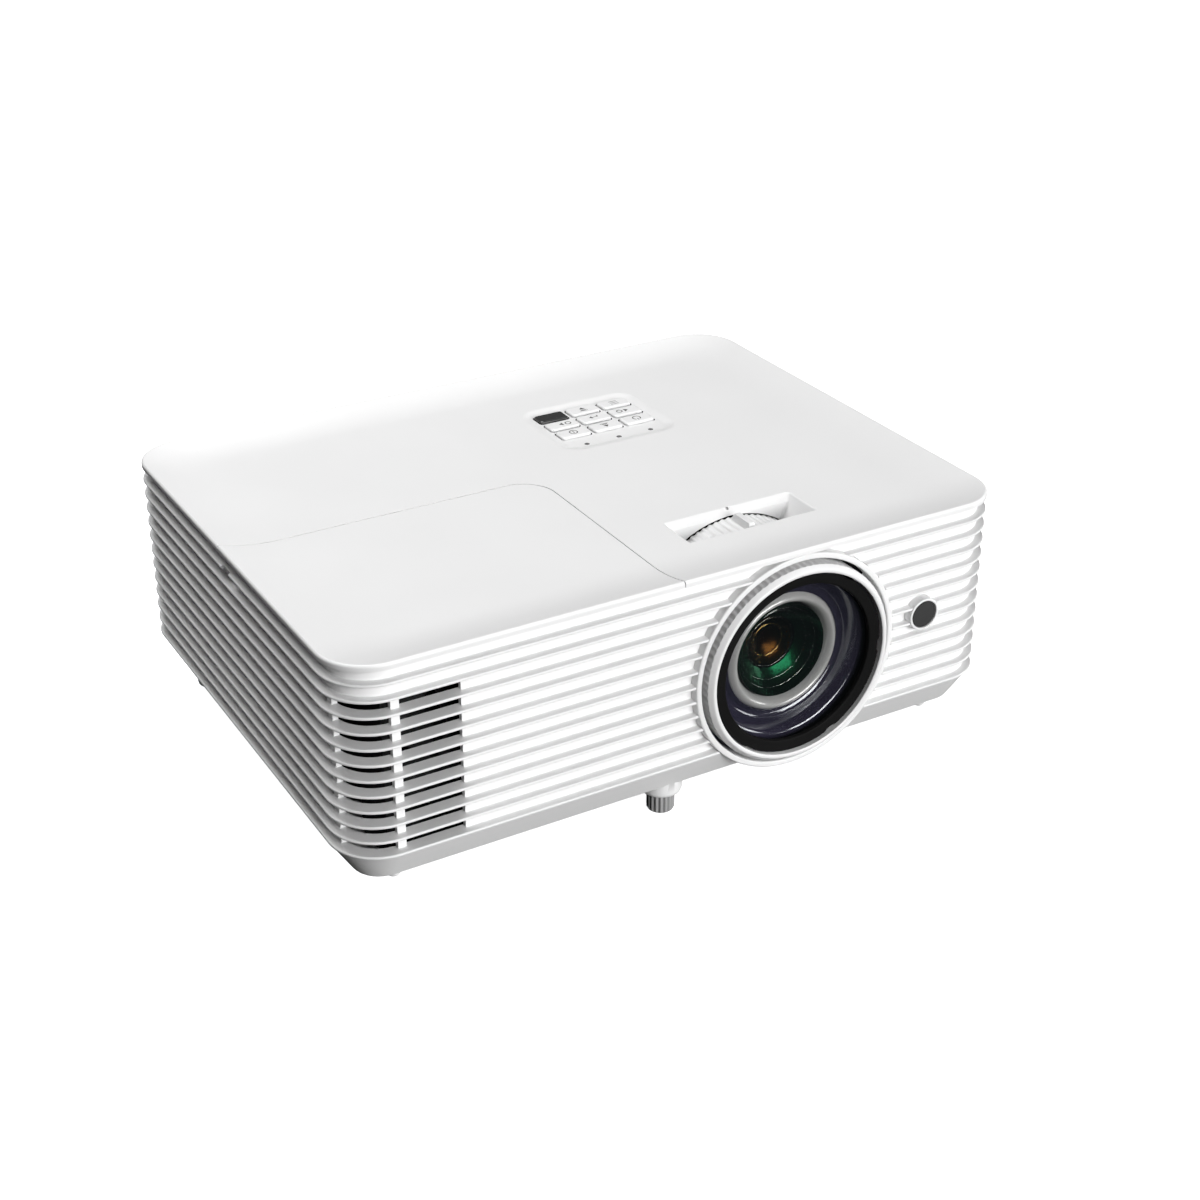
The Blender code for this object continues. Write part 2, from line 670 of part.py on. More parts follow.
def make_focus_ring(look):
    """The focusing drum, with the finger lever that stands up in the slot in the top."""
    inner = DRUM_RADIUS - DRUM_WALL
    profile = [
        (DRUM_RADIUS, DRUM_BACK_Y),
        (DRUM_RADIUS, LIP_Y + 1.6),
        (DRUM_RADIUS - LIP_INSET, LIP_Y),
        (inner, LIP_Y),
        (inner, DRUM_BACK_Y),
    ]
    ring = turned("focus_ring", profile, (LENS_X, 0, LENS_Z), "Y", look, segments=LENS_SEGMENTS, closed=True)
    top = FIELD_Z + LEVER_ABOVE_FIELD - LENS_Z
    low = (DRUM_RADIUS - DRUM_WALL / 2) * MM
    half = LEVER_WIDTH / 2 * MM
    front = SLOT_Y - LEVER_LENGTH / 2 - 2.4
    outline = [(front, low), (front, top * MM), (front + LEVER_LENGTH - 1.5, top * MM)]
    outline += [(front + LEVER_LENGTH + 1.5, low)]
    rings = [[(x / MM, y, z / MM) for y, z in outline] for x in (-half, half)]
    lever = build("focus_lever", *bridge(rings, False), (LENS_X, 0, LENS_Z), None)
    boolean(ring, lever, "UNION")
    return ring


def glass_profiles(radius, front_y):
    """Front and back curves of the first lens, from the middle outwards."""
    front = []
    back = []
    for step in range(1, GLASS_STEPS + 1):
        reach = radius * step / GLASS_STEPS
        fall = GLASS_FRONT_CURVE - math.sqrt(GLASS_FRONT_CURVE**2 - reach**2)
        front.append((reach, front_y + fall))
        hollow = min(reach, radius * 0.93)  # the rim of the back is flat
        rise = GLASS_BACK_CURVE - math.sqrt(GLASS_BACK_CURVE**2 - hollow**2)
        back.append((reach, front_y + GLASS_THICKNESS + rise))
    return front, back


def make_lens_group(black, glass):
    """The cell that slides inside the drum, with the glass it carries."""
    axis = (LENS_X, 0, LENS_Z)
    outer = DRUM_RADIUS - DRUM_WALL - CELL_CLEARANCE
    cell_inner = outer - CELL_WALL
    lens_radius = cell_inner - GAP
    retainer_front = FRONT_Y - RETAINER_PROUD
    retainer_back = retainer_front + RETAINER_DEPTH
    view = outer - RETAINER_WIDTH
    profile = [(outer, retainer_back), (outer, retainer_front), (outer - RETAINER_BEVEL, retainer_front)]
    profile += [(view, FRONT_Y), (view, retainer_back)]
    turned("lens_retainer", profile, axis, "Y", black, segments=LENS_SEGMENTS, closed=True)
    cell_front = retainer_back + GAP
    cell_back = DRUM_BACK_Y - CELL_BEHIND_DRUM
    tube("lens_cell", outer, cell_inner, cell_back, cell_front, axis, "Y", black, segments=LENS_SEGMENTS)

    fall = GLASS_FRONT_CURVE - math.sqrt(GLASS_FRONT_CURVE**2 - view**2)
    front, back = glass_profiles(lens_radius, retainer_back + GLASS_CLEARANCE - fall)
    front[-1] = (lens_radius, max(front[-1][1], cell_front))
    turned("front_lens", front + back[::-1], axis, "Y", glass)
    make_inner_lenses(axis, lens_radius, back[-1][1] + GAP, black, glass)


def make_inner_lenses(axis, lens_radius, start, black, glass):
    """The stepped barrel behind the first lens and the two smaller lenses that it holds."""
    end = start + BARREL_LENGTH
    outer = lens_radius - BARREL_INSET
    throat = lens_radius - THROAT_INSET
    bore = outer - BARREL_WALL
    shelf = start + THROAT_START
    mouth = lens_radius - BARREL_MOUTH_INSET
    barrel = [(lens_radius, start), (lens_radius, start + 3), (outer, start + 9)]
    barrel += [(outer, end), (throat, end), (throat, shelf)]
    barrel += [(bore, shelf), (bore, start + 4), (mouth, start)]
    turned("inner_barrel", barrel, axis, "Y", black, closed=True)
    second = start + SECOND_LENS_BEHIND
    edge = bore - GAP
    dome = [(edge * 0.3, second), (edge * 0.64, second + 1.2), (edge, second + 3.4)]
    dome += [(edge, second + 5.4), (edge * 0.52, second + 4.6)]
    turned("second_lens", dome, axis, "Y", glass)
    third = start + THIRD_LENS_BEHIND
    edge = throat - GAP
    dome = [(edge * 0.3, third), (edge * 0.7, third + 1.4), (edge, third + 3.0), (edge, third + 6.0)]
    turned("third_lens", dome, axis, "Y", glass)


def make_lens_mount(look):
    """The flange behind the drum, with the neck that reaches into it."""
    axis = (LENS_X, 0, LENS_Z)
    outer = DRUM_RADIUS - 1.5
    start = DRUM_BACK_Y + MOUNT_CLEARANCE
    end = start + MOUNT_THICKNESS
    neck_front = start - 3.0
    profile = [(outer, start), (outer, end), (MOUNT_BORE, end)]
    profile += [(MOUNT_BORE, neck_front), (MOUNT_NECK_RADIUS, neck_front), (MOUNT_NECK_RADIUS, start)]
    turned("lens_mount", profile, axis, "Y", look, closed=True)


def make_front_eye(white, dark):
    place = (LENS_X + EYE_FROM_LENS, 0, LENS_Z + EYE_ABOVE_LENS)
    outer = EYE_RADIUS + EYE_RING
    front = FRONT_Y - EYE_PROUD
    back = FRONT_Y + INNER
    soft = 0.4
    profile = [(outer, back), (outer, front + soft), (outer - soft, front), (EYE_RADIUS, front)]
    profile += [(EYE_RADIUS, back)]
    turned("front_eye_bezel", profile, place, "Y", white, segments=24, closed=True)
    radius = EYE_RADIUS - GAP
    rod("front_eye_window", radius, front + 0.4, back, place, "Y", dark)


KEY_NAMES = {
    (1, 0): "key_up",
    (2, 0): "key_menu",
    (0, 1): "key_left",
    (1, 1): "key_enter",
    (2, 1): "key_right",
    (0, 2): "key_info",
    (1, 2): "key_down",
    (2, 2): "key_power",
}


def key_body(name, at, look):
    """A key cap with a bevelled top and the flange that holds it under the cover."""
    top = FIELD_Z + 0.2
    under = COVER_UNDER_Z
    grow = 2 * (GAP + KEY_FLANGE)
    soft = 0.5
    sizes = [
        (grow, under - 0.9 - 0.8),
        (grow, under - 0.9),
        (0, under - 0.9),
        (0, top - soft),
        (-2 * soft, top),
    ]
    rings = []
    for extra, z in sizes:
        rings.append(rounded_ring(KEY_WIDTH + extra, KEY_DEPTH + extra, 1.4, z - FIELD_Z, 2))
    return build(name, *bridge(rings, False), (*at, FIELD_Z), look)


def make_keypad(white, dark, lamp, board):
    for column, row, at in key_places():
        name = KEY_NAMES.get((column, row), "top_eye_window")
        key_body(name, at, dark if name == "top_eye_window" else white)
    for name, (x, y) in zip(("led_temp", "led_lamp", "led_power"), led_places()):
        rod(name, LED_RADIUS, KEYPAD_BOARD_Z + GAP, KEYPAD_Z + 0.1, (x, y, 0), "Z", lamp, segments=12)
    low = (LENS_X - KEYPAD_WIDTH / 2, KEYPAD_Y - KEYPAD_DEPTH / 2, KEYPAD_BOARD_Z - BOARD_THICKNESS)
    high = (LENS_X + KEYPAD_WIDTH / 2, KEYPAD_Y + KEYPAD_DEPTH / 2, KEYPAD_BOARD_Z)
    block("keypad_board", low, high, board)


def make_feet(steel, grey):
    for name, (x, y) in foot_places():
        top = UNDER_Z + STUD_TOP
        rod(f"{name}_foot_stud", STUD_RADIUS, STUD_LOW, top, (x, y, 0), "Z", steel, segments=20)
        bore = STUD_RADIUS + GAP
        profile = [(KNOB_RADIUS - KNOB_SOFT, 0.0), (KNOB_RADIUS, KNOB_SOFT), (KNOB_RADIUS, KNOB_HEIGHT)]

        def flute(step):
            return KNOB_FLUTE_SHARE if step % 2 else 1.0

        knob_name = f"{name}_foot_knob"
        knob = turned(knob_name, profile, (x, y, 0), "Z", grey, KNOB_FLUTES * 2, radius_of=flute)
        top = KNOB_HEIGHT + WALL
        hole = rod(f"cut_knob_{name}", bore, STUD_LOW - GAP, top, (x, y, 0), "Z", segments=16)
        boolean(knob, hole)


def make_screws(steel):
    for index, (x, y) in enumerate(screw_places()):
        head = UNDER_Z + SCREW_HEAD_RECESS
        shank = head + SCREW_HEAD_HEIGHT
        profile = [(SCREW_HEAD_RADIUS, head), (SCREW_HEAD_RADIUS, shank)]
        profile += [(SCREW_RADIUS, shank), (SCREW_RADIUS, UNDER_Z + SCREW_BOSS_TOP - 2)]
        turned(f"case_screw_{index + 1}", profile, (x, y, 0), "Z", steel, segments=12)


def panel_face_y():
    return BACK_Y - RIB_DEPTH


def make_rear_panel(look):
    middle = RIM_Z - PANEL_BELOW_RIM
    half = PANEL_WIDTH / 2
    low = (-half, BACK_Y - INNER, middle - PANEL_HEIGHT / 2)
    high = (half, panel_face_y(), middle + PANEL_HEIGHT / 2)
    panel = block("rear_panel", low, high, look)
    row = RIM_Z - PORT_ROW_BELOW_RIM
    for name, x, width, height in (*PORTS, ("ac_inlet", INLET_X, INLET_WIDTH, INLET_HEIGHT)):
        low = (x - width / 2 - GAP, BACK_Y - INNER - WALL, row - height / 2 - GAP)
        high = (x + width / 2 + GAP, BACK_Y, row + height / 2 + GAP)
        boolean(panel, block(f"cut_{name}", low, high))
    return panel


def make_ports(metal, black):
    row = RIM_Z - PORT_ROW_BELOW_RIM
    face = panel_face_y() + PORT_PROUD
    back = face - PORT_DEPTH
    for name, x, width, height in PORTS:
        low = (x - width / 2, back, row - height / 2)
        high = (x + width / 2, face, row + height / 2)
        port = block(name, low, high, black if name == "audio_jack" else metal)
        if name == "audio_jack":
            place = (x, 0, row)
            boolean(port, rod("cut_jack", JACK_BORE, back + PORT_BACK, face + WALL, place, "Y", segments=16))
            continue
        low = (x - width / 2 + PORT_WALL, back + PORT_BACK, row - height / 2 + PORT_WALL)
        high = (x + width / 2 - PORT_WALL, face + WALL, row + height / 2 - PORT_WALL)
        boolean(port, block(f"hollow_{name}", low, high))
        tongue = (height - 2 * PORT_WALL) / 6
        low = (x - width / 2 + TONGUE_INSET, back + PORT_BACK / 2, row - tongue)
        high = (x + width / 2 - TONGUE_INSET, face - TONGUE_BEHIND, row + tongue)
        boolean(port, block(f"tongue_{name}", low, high), "UNION")
    make_inlet(black, row, face)


def make_inlet(look, row, face):
    """The mains inlet: a cup with three flat pins that stay well behind its mouth."""
    back = face - INLET_DEPTH
    low = (INLET_X - INLET_WIDTH / 2, back, row - INLET_HEIGHT / 2)
    high = (INLET_X + INLET_WIDTH / 2, face, row + INLET_HEIGHT / 2)
    inlet = block("ac_inlet", low, high, look)
    low = (low[0] + INLET_WALL, back + PORT_BACK, low[2] + INLET_WALL)
    high = (high[0] - INLET_WALL, face + WALL, high[2] - INLET_WALL)
    boolean(inlet, block("hollow_inlet", low, high))
    half_x = PIN_SIZE[0] / 2
    half_z = PIN_SIZE[1] / 2
    for index, (dx, dz) in enumerate(PIN_PLACES):
        x = INLET_X + dx
        z = row + dz
        low = (x - half_x, back + PORT_BACK / 2, z - half_z)
        high = (x + half_x, face - PIN_BEHIND, z + half_z)
        boolean(inlet, block(f"inlet_pin_{index}", low, high), "UNION")


def across(angle):
    """A direction across an axis along Y, at an angle from +X towards +Z."""
    return Vector((math.cos(angle), 0, math.sin(angle)))


def make_fan(frame_look, rotor_look):
    """The fan behind the air vents at the front left corner. Returns the y of its back."""
    half = FAN_SIZE / 2
    deep = FAN_DEPTH / 2
    middle = Vector((INSIDE_X + half, FRONT_Y + INSIDE + deep, FLOOR_Z + FAN_ABOVE_FLOOR + half))
    corner = Vector((half, deep, half))
    frame = block("exhaust_fan_frame", middle - corner, middle + corner, frame_look)
    radius = half - FAN_RIM
    boolean(frame, rod("cut_fan", radius, -FAN_DEPTH, FAN_DEPTH, middle, "Y", segments=32))
    for index in range(STRUT_COUNT):
        angle = math.radians(90) + math.tau * index / STRUT_COUNT
        low = (0, deep - STRUT_DEPTH, -STRUT_WIDTH / 2)
        high = (radius + FAN_RIM / 2, deep, STRUT_WIDTH / 2)
        strut = block(f"fan_strut_{index}", low, high)
        back = Vector((0, deep - STRUT_DEPTH / 2, 0))
        strut.location = (middle + back + radius / 2 * across(angle)) * MM
        strut.rotation_euler = (0, -angle, 0)
        boolean(frame, strut, "UNION")
    motor = rod("fan_motor", FAN_HUB, deep - STRUT_DEPTH, deep, middle, "Y", segments=24)
    boolean(frame, motor, "UNION")
    make_rotor(middle, deep, radius, rotor_look)
    return middle.y + deep


def make_rotor(middle, deep, radius, look):
    """The fan's hub and its pitched blades, turning about Y."""
    ends = (ROTOR_FRONT_GAP - deep, deep - ROTOR_BACK_GAP)
    rotor = rod("exhaust_fan_rotor", FAN_HUB, *ends, middle, "Y", look, segments=24)
    root = FAN_HUB - 2
    tip = radius - 2
    half = Vector((0, BLADE_THICKNESS / 2, BLADE_CHORD / 2))
    for index in range(FAN_BLADES):
        angle = math.tau * index / FAN_BLADES
        low = Vector((root, 0, 0)) - half
        high = Vector((tip, 0, 0)) + half
        blade = block(f"fan_blade_{index}", low, high)
        place = middle + Vector((0, -0.5, 0)) + (root + tip) / 2 * across(angle)
        pitch = Matrix.Rotation(math.radians(BLADE_PITCH), 4, "X")
        blade.matrix_world = Matrix.Translation(place * MM) @ Matrix.Rotation(-angle, 4, "Y") @ pitch
        boolean(rotor, blade, "UNION")


def make_lamp(fan_back, look, mirror):
    """The lamp's housing behind the fan, and the reflector that shines out of its right side."""
    low = (INSIDE_X + LAMP_MARGIN, fan_back + LAMP_MARGIN, FLOOR_Z + LAMP_MARGIN)
    high = (low[0] + LAMP_WIDTH, low[1] + LAMP_DEPTH, COVER_UNDER_Z - LAMP_BELOW_COVER)
    housing = block("lamp_housing", low, high, look)
    middle = tuple((a + b) / 2 for a, b in zip(low, high))
    boolean(housing, rod("cut_lamp", LAMP_BORE, -30.0, 60.0, middle, "X", segments=32))
    inner = REFLECTOR_RADIUS - REFLECTOR_WALL
    profile = [(6.0, -26.0), (14.0, -20.0), (20.0, -8.0), (REFLECTOR_RADIUS, 12.0)]
    profile += [(inner, 12.0), (18.5, -8.0), (12.5, -18.0), (4.0, -23.0)]
    turned("lamp_reflector", profile, middle, "X", mirror, segments=24, closed=True)
    return high[0], middle


def make_light_path(start_x, middle, glass, metal):
    """Between the lamp and the lens: the colour wheel, its motor and the light engine."""
    wheel_x = start_x + WHEEL_FROM_LAMP
    half = WHEEL_THICKNESS / 2
    wheel = [(WHEEL_RADIUS, -half), (WHEEL_RADIUS, half)]
    wheel += [(WHEEL_HUB_RADIUS, half), (WHEEL_HUB_RADIUS, WHEEL_HUB_LENGTH)]
    place = (wheel_x, middle[1] + WHEEL_BEHIND_LAMP, middle[2] - WHEEL_BELOW_LAMP)
    turned("colour_wheel", wheel, place, "X", glass, segments=28)
    motor_start = WHEEL_HUB_LENGTH + 2 * GAP
    ends = (motor_start, motor_start + MOTOR_LENGTH)
    rod("colour_wheel_motor", MOTOR_RADIUS, *ends, place, "X", metal, segments=24)
    front = DRUM_BACK_Y + ENGINE_BEHIND_DRUM
    low = (wheel_x + ENGINE_FROM_WHEEL, front, FLOOR_Z + LAMP_MARGIN)
    high = (LENS_X + ENGINE_PAST_LENS, front + ENGINE_DEPTH, COVER_UNDER_Z - ENGINE_BELOW_COVER)
    engine = block("light_engine", low, high, metal)
    step = engine.modifiers.new("soften", "BEVEL")
    step.width = ENGINE_BEVEL * MM
    step.segments = 2
    start = high[0] + 1
    low_corner = (start, low[1] + 4, low[2] + 8)
    high_corner = (start + HEATSINK_DEPTH, high[1] - 4, high[2] - 8)
    fins = block("engine_heatsink", low_corner, high_corner, metal)
    for index in range(FIN_COUNT):
        y = low[1] + 10.0 + index * FIN_PITCH
        low_cut = (start + HEATSINK_BASE, y, low[2])
        high_cut = (start + 2 * HEATSINK_DEPTH, y + FIN_GAP, high[2])
        boolean(fins, block(f"cut_fin_{index}", low_cut, high_cut))


def make_electronics(board, dark, metal):
    """The main board behind the rear ports, the power supply, the intake blower and the speaker."""
    top = RIM_Z - PORT_ROW_BELOW_RIM - BOARD_BELOW_PORTS
    back = panel_face_y() - INLET_DEPTH - 1.0
    board_back = back + MAIN_BOARD_BACK
    low = (-MAIN_BOARD_LEFT, board_back - MAIN_BOARD_DEPTH, top - BOARD_THICKNESS)
    block("main_board", low, (PANEL_WIDTH / 2 - 6, board_back, top), board)
    low = (INSIDE_X + 6.0, SEAM_Y + 6.0, FLOOR_Z + 4.0)
    high = (low[0] + SUPPLY_WIDTH, back - 6.0, FLOOR_Z + 6.0)
    supply = block("power_supply", low, high, board)
    wide, deep = SUPPLY_PART_SIZE
    for index in range(3):
        x = low[0] + 6 + index * SUPPLY_PART_PITCH
        part_low = (x, low[1] + 8, FLOOR_Z + 5.0)
        height = SUPPLY_PART_HEIGHT - SUPPLY_PART_STEP * index
        part_high = (x + wide, low[1] + 8 + deep, FLOOR_Z + height)
        boolean(supply, block(f"supply_part_{index}", part_low, part_high), "UNION")
    x = SIDE_X - INNER - BLOWER_FROM_WALL
    make_blower((x, FRONT_Y + BLOWER_FROM_FRONT, LENS_Z - BLOWER_BELOW_LENS), dark)
    speaker = (x - 8, BACK_Y - SPEAKER_FROM_BACK, FLOOR_Z + SPEAKER_ABOVE_FLOOR)
    cone = [(SPEAKER_RADIUS, -5.0), (SPEAKER_RADIUS, 3.0), (SPEAKER_RADIUS - 3, 4.5), (6.0, -1.0)]
    turned("speaker", cone, speaker, "X", metal, segments=32)


def make_blower(place, look):
    """The intake blower's round case and the impeller that turns in it about X."""
    ends = (-BLOWER_HALF, BLOWER_HALF)
    tube("intake_blower", BLOWER_RADIUS, BLOWER_BORE, *ends, place, "X", look, segments=32)
    radius = BLOWER_BORE - IMPELLER_CLEARANCE
    ends = (-IMPELLER_HALF, IMPELLER_PLATE - IMPELLER_HALF)
    impeller = rod("intake_blower_rotor", radius, *ends, place, "X", look, segments=24)
    half = Vector((IMPELLER_HALF - IMPELLER_PLATE / 4, VANE_THICKNESS / 2, 0))
    for index in range(VANE_COUNT):
        angle = math.tau * index / VANE_COUNT
        low = Vector((0, 0, VANE_INNER)) - half
        high = Vector((0, 0, radius - GAP)) + half
        vane = block(f"vane_{index}", low, high)
        turn = Matrix.Rotation(angle, 4, "X")
        middle = Vector((IMPELLER_PLATE / 4, 0, (VANE_INNER + radius - GAP) / 2))
        vane.matrix_world = Matrix.Translation((Vector(place) + turn @ middle) * MM) @ turn
        boolean(impeller, vane, "UNION")


def make_projector():
    white = material("white_plastic", (0.86, 0.86, 0.86), 0.42)
    key_white = material("key_plastic", (0.88, 0.88, 0.88), 0.38)
    black = material("black_plastic", (0.02, 0.02, 0.022), 0.45)
    smoke = material("smoked_window", (0.05, 0.05, 0.055), 0.12)
    grey = material("grey_rubber", (0.34, 0.34, 0.35), 0.7)
    glass = material("lens_glass", (0.75, 0.85, 0.8), 0.03, alpha=0.35)
    steel = material("steel", (0.55, 0.56, 0.57), 0.35, metallic=1.0)
    cast = material("cast_metal", (0.42, 0.43, 0.44), 0.5, metallic=0.8)
    mirror = material("mirror", (0.9, 0.9, 0.88), 0.05, metallic=1.0)
    board = material("circuit_board", (0.02, 0.2, 0.09), 0.5)
    lamp = material("indicator", (0.3, 0.32, 0.33), 0.3)

    make_top_cover(white)
    make_lamp_cover(white)
    make_side_shell(white)
    make_bottom_tray(white)
    make_rear_panel(white)
    make_lens_bezel(white)
    make_front_eye(white, smoke)
    make_keypad(key_white, smoke, lamp, board)
    make_focus_ring(white)
    make_lens_group(black, glass)
    make_lens_mount(black)
    make_feet(steel, grey)
    make_screws(steel)
    make_ports(steel, black)
    fan_back = make_fan(black, black)
    lamp_right, lamp_middle = make_lamp(fan_back, cast, mirror)
    make_light_path(lamp_right, lamp_middle, glass, cast)
    make_electronics(board, black, cast)


for leftover in list(bpy.data.objects):
    bpy.data.objects.remove(leftover, do_unlink=True)
make_projector()
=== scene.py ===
"""The looks of a white short-throw home projector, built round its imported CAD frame.

Lengths are millimetres in the frame's own axes: the lens looks along -Y and +Z is up.
"""
import json
import math

import bmesh
import bpy
from mathutils import Matrix, Vector


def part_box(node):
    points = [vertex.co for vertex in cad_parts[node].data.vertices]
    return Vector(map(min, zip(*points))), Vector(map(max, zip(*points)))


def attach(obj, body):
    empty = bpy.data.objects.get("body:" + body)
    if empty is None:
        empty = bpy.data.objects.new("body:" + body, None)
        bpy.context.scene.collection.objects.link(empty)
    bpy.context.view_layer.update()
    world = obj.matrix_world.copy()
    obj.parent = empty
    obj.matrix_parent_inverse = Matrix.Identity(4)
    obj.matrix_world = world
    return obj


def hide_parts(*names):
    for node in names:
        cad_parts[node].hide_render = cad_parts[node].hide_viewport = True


MM = 0.001
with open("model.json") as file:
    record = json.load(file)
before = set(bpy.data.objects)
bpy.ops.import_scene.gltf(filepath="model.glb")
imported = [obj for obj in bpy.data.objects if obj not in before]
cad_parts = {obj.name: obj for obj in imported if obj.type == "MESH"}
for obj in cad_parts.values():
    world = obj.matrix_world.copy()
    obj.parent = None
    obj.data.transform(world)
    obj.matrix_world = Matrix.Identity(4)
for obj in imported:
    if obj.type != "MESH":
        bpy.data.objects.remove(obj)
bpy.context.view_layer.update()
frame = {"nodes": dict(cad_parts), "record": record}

# Sizes that the frame doesn't state
CASE_HEIGHT = 102.15
CORNER_RADIUS = 22.0
WALL = 2.3
GAP = 0.3
SEAM = 0.5
DRUM_CLEARANCE = 0.3
RIB_COUNT = 12
RIB_DEPTH = 3.9
RIB_HALF = 0.675
RIB_NOSE = 0.6
FIRST_RIB = 9.0
LAST_RIB = 86.5
ROOT_FILLET = 0.45
RIM_BAND = 2.75
CREST = 1.2
DISH_DEPTH = 3.9
DISH_RISE = 26.0
DISH_CORNER = 12.0
SKIRT_START = 0.9
SKIRT_INSET = 9.85
SEAM_FROM_LENS = 56.8
LAMP_COVER_DEPTH = 124.2
LAMP_COVER_CORNER = 16.0
NOTCH_LENGTH = 8.4
NOTCH_FROM_SEAM = 2.3
VENT_LENGTH = 25.9
VENT_POST = 3.6
VENT_TAIL = 7.0
OUTLET_LENGTH = 50.0
OUTLET_COUNT = 2
SLOT_WIDTH = 64.3
SLOT_DEPTH = 21.1
SLOT_FROM_FRONT = 46.2
SLOT_FLARE = 7.0
SLOT_HEIGHT = 13.0
SLOT_CORNER = 1.2
SLOT_BACK_FALL = 2.9
SLOT_BACK_SLOPE = 3.1
DRUM_RADIUS = 45.9
FLUTE_COUNT = 90
FLUTE_DEPTH = 0.5
DRUM_WALL = 3.4
BEZEL_RADIUS = 50.3
BEZEL_WALL = 2.7
BEZEL_PROUD = 0.3
BEZEL_ROUNDING = 0.8
RETAINER_VIEW = 36.6
RETAINER_PROUD = 1.8
RETAINER_NOTCH = 0.9
RETAINER_GAP = 0.4
GLASS_RADIUS = 39.8
GLASS_CURVE = 210.0
KNOB_RADIUS = 6.15
KNOB_FLUTES = 18
BOSS_RADIUS = 9.2
KEYPAD_SIZE = (62.4, 53.6)
KEYPAD_CORNER = 10.0
KEYPAD_RECESS = 1.0
MARK_RADIUS = 1.1
LED_HOLE = 1.25
KEYPAD_EDGE = 5.6
KEY_GAP = 0.55


def box_mm(node):
    """Lowest and highest corner of a CAD node, in millimetres."""
    low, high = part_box(node)
    return low / MM, high / MM


def middle_mm(node):
    low, high = box_mm(node)
    return (low + high) / 2


shell_low, shell_high = box_mm("side_shell")
RIM_Z = box_mm("top_cover")[1].z
SIDE_X = shell_high.x
FRONT_Y = shell_low.y
BACK_Y = shell_high.y
CASE_Y = (FRONT_Y + BACK_Y) / 2
WIDTH = 2 * SIDE_X
DEPTH = BACK_Y - FRONT_Y
UNDER_Z = RIM_Z - CASE_HEIGHT
FIELD_Z = RIM_Z - DISH_DEPTH
COVER_UNDER_Z = FIELD_Z - WALL
INNER = RIB_DEPTH + WALL
PITCH = (LAST_RIB - FIRST_RIB) / (RIB_COUNT - 1)
lens_middle = middle_mm("front_lens")
LENS_X = lens_middle.x
LENS_Z = lens_middle.z
LIP_Y = box_mm("focus_ring")[0].y
DRUM_BACK_Y = box_mm("focus_ring")[1].y
SLOT_Y = FRONT_Y + SLOT_FROM_FRONT
SEAM_X = LENS_X - SEAM_FROM_LENS
SEAM_Y = FRONT_Y + LAMP_COVER_DEPTH
SPLIT_BELOW = LAST_RIB + RIB_HALF


# ---------------------------------------------------------------- materials

def new_material(name):
    made = bpy.data.materials.new(name)
    made.use_nodes = True
    return made, made.node_tree.nodes, made.node_tree.links


def grain(nodes, links, shader, size_mm, bump_mm, roughness, spread=0.04):
    """Moulded grain: a fine bump and a little change in roughness, in the object's own space."""
    place = nodes.new("ShaderNodeTexCoord")
    fine = nodes.new("ShaderNodeTexNoise")
    fine.inputs["Scale"].default_value = 1.0 / (size_mm * MM)
    fine.inputs["Detail"].default_value = 4.0
    links.new(place.outputs["Object"], fine.inputs["Vector"])
    if bump_mm:
        bump = nodes.new("ShaderNodeBump")
        bump.inputs["Distance"].default_value = bump_mm * MM
        bump.inputs["Strength"].default_value = 1.0
        links.new(fine.outputs["Fac"], bump.inputs["Height"])
        links.new(bump.outputs["Normal"], shader.inputs["Normal"])
    shine = nodes.new("ShaderNodeMapRange")
    shine.inputs["To Min"].default_value = roughness - spread
    shine.inputs["To Max"].default_value = roughness + spread
    links.new(fine.outputs["Fac"], shine.inputs["Value"])
    links.new(shine.outputs["Result"], shader.inputs["Roughness"])
    return place


def shade_variation(nodes, links, shader, place, low, high, size_mm):
    """A slow, faint change of colour over the piece, between two colours."""
    slow = nodes.new("ShaderNodeTexNoise")
    slow.inputs["Scale"].default_value = 1.0 / (size_mm * MM)
    slow.inputs["Detail"].default_value = 2.0
    links.new(place.outputs["Object"], slow.inputs["Vector"])
    ramp = nodes.new("ShaderNodeValToRGB")
    ramp.color_ramp.elements[0].position = 0.35
    ramp.color_ramp.elements[0].color = (*low, 1.0)
    ramp.color_ramp.elements[1].position = 0.65
    ramp.color_ramp.elements[1].color = (*high, 1.0)
    links.new(slow.outputs["Fac"], ramp.inputs["Fac"])
    links.new(ramp.outputs["Color"], shader.inputs["Base Color"])


def plastic(name, low, high, roughness, grain_mm=0.35, bump_mm=0.006, specular=0.5, coat=0.0):
    made, nodes, links = new_material(name)
    shader = nodes["Principled BSDF"]
    shader.inputs["Specular IOR Level"].default_value = specular
    shader.inputs["Coat Weight"].default_value = coat
    shader.inputs["Coat Roughness"].default_value = 0.08
    place = grain(nodes, links, shader, grain_mm, bump_mm, roughness)
    shade_variation(nodes, links, shader, place, low, high, 60.0)
    return made


def metal(name, low, high, roughness, grain_mm=0.5, bump_mm=0.01):
    made, nodes, links = new_material(name)
    shader = nodes["Principled BSDF"]
    shader.inputs["Metallic"].default_value = 1.0
    place = grain(nodes, links, shader, grain_mm, bump_mm, roughness, spread=0.08)
    shade_variation(nodes, links, shader, place, low, high, 12.0)
    return made


def grey(value):
    return (value, value, value)


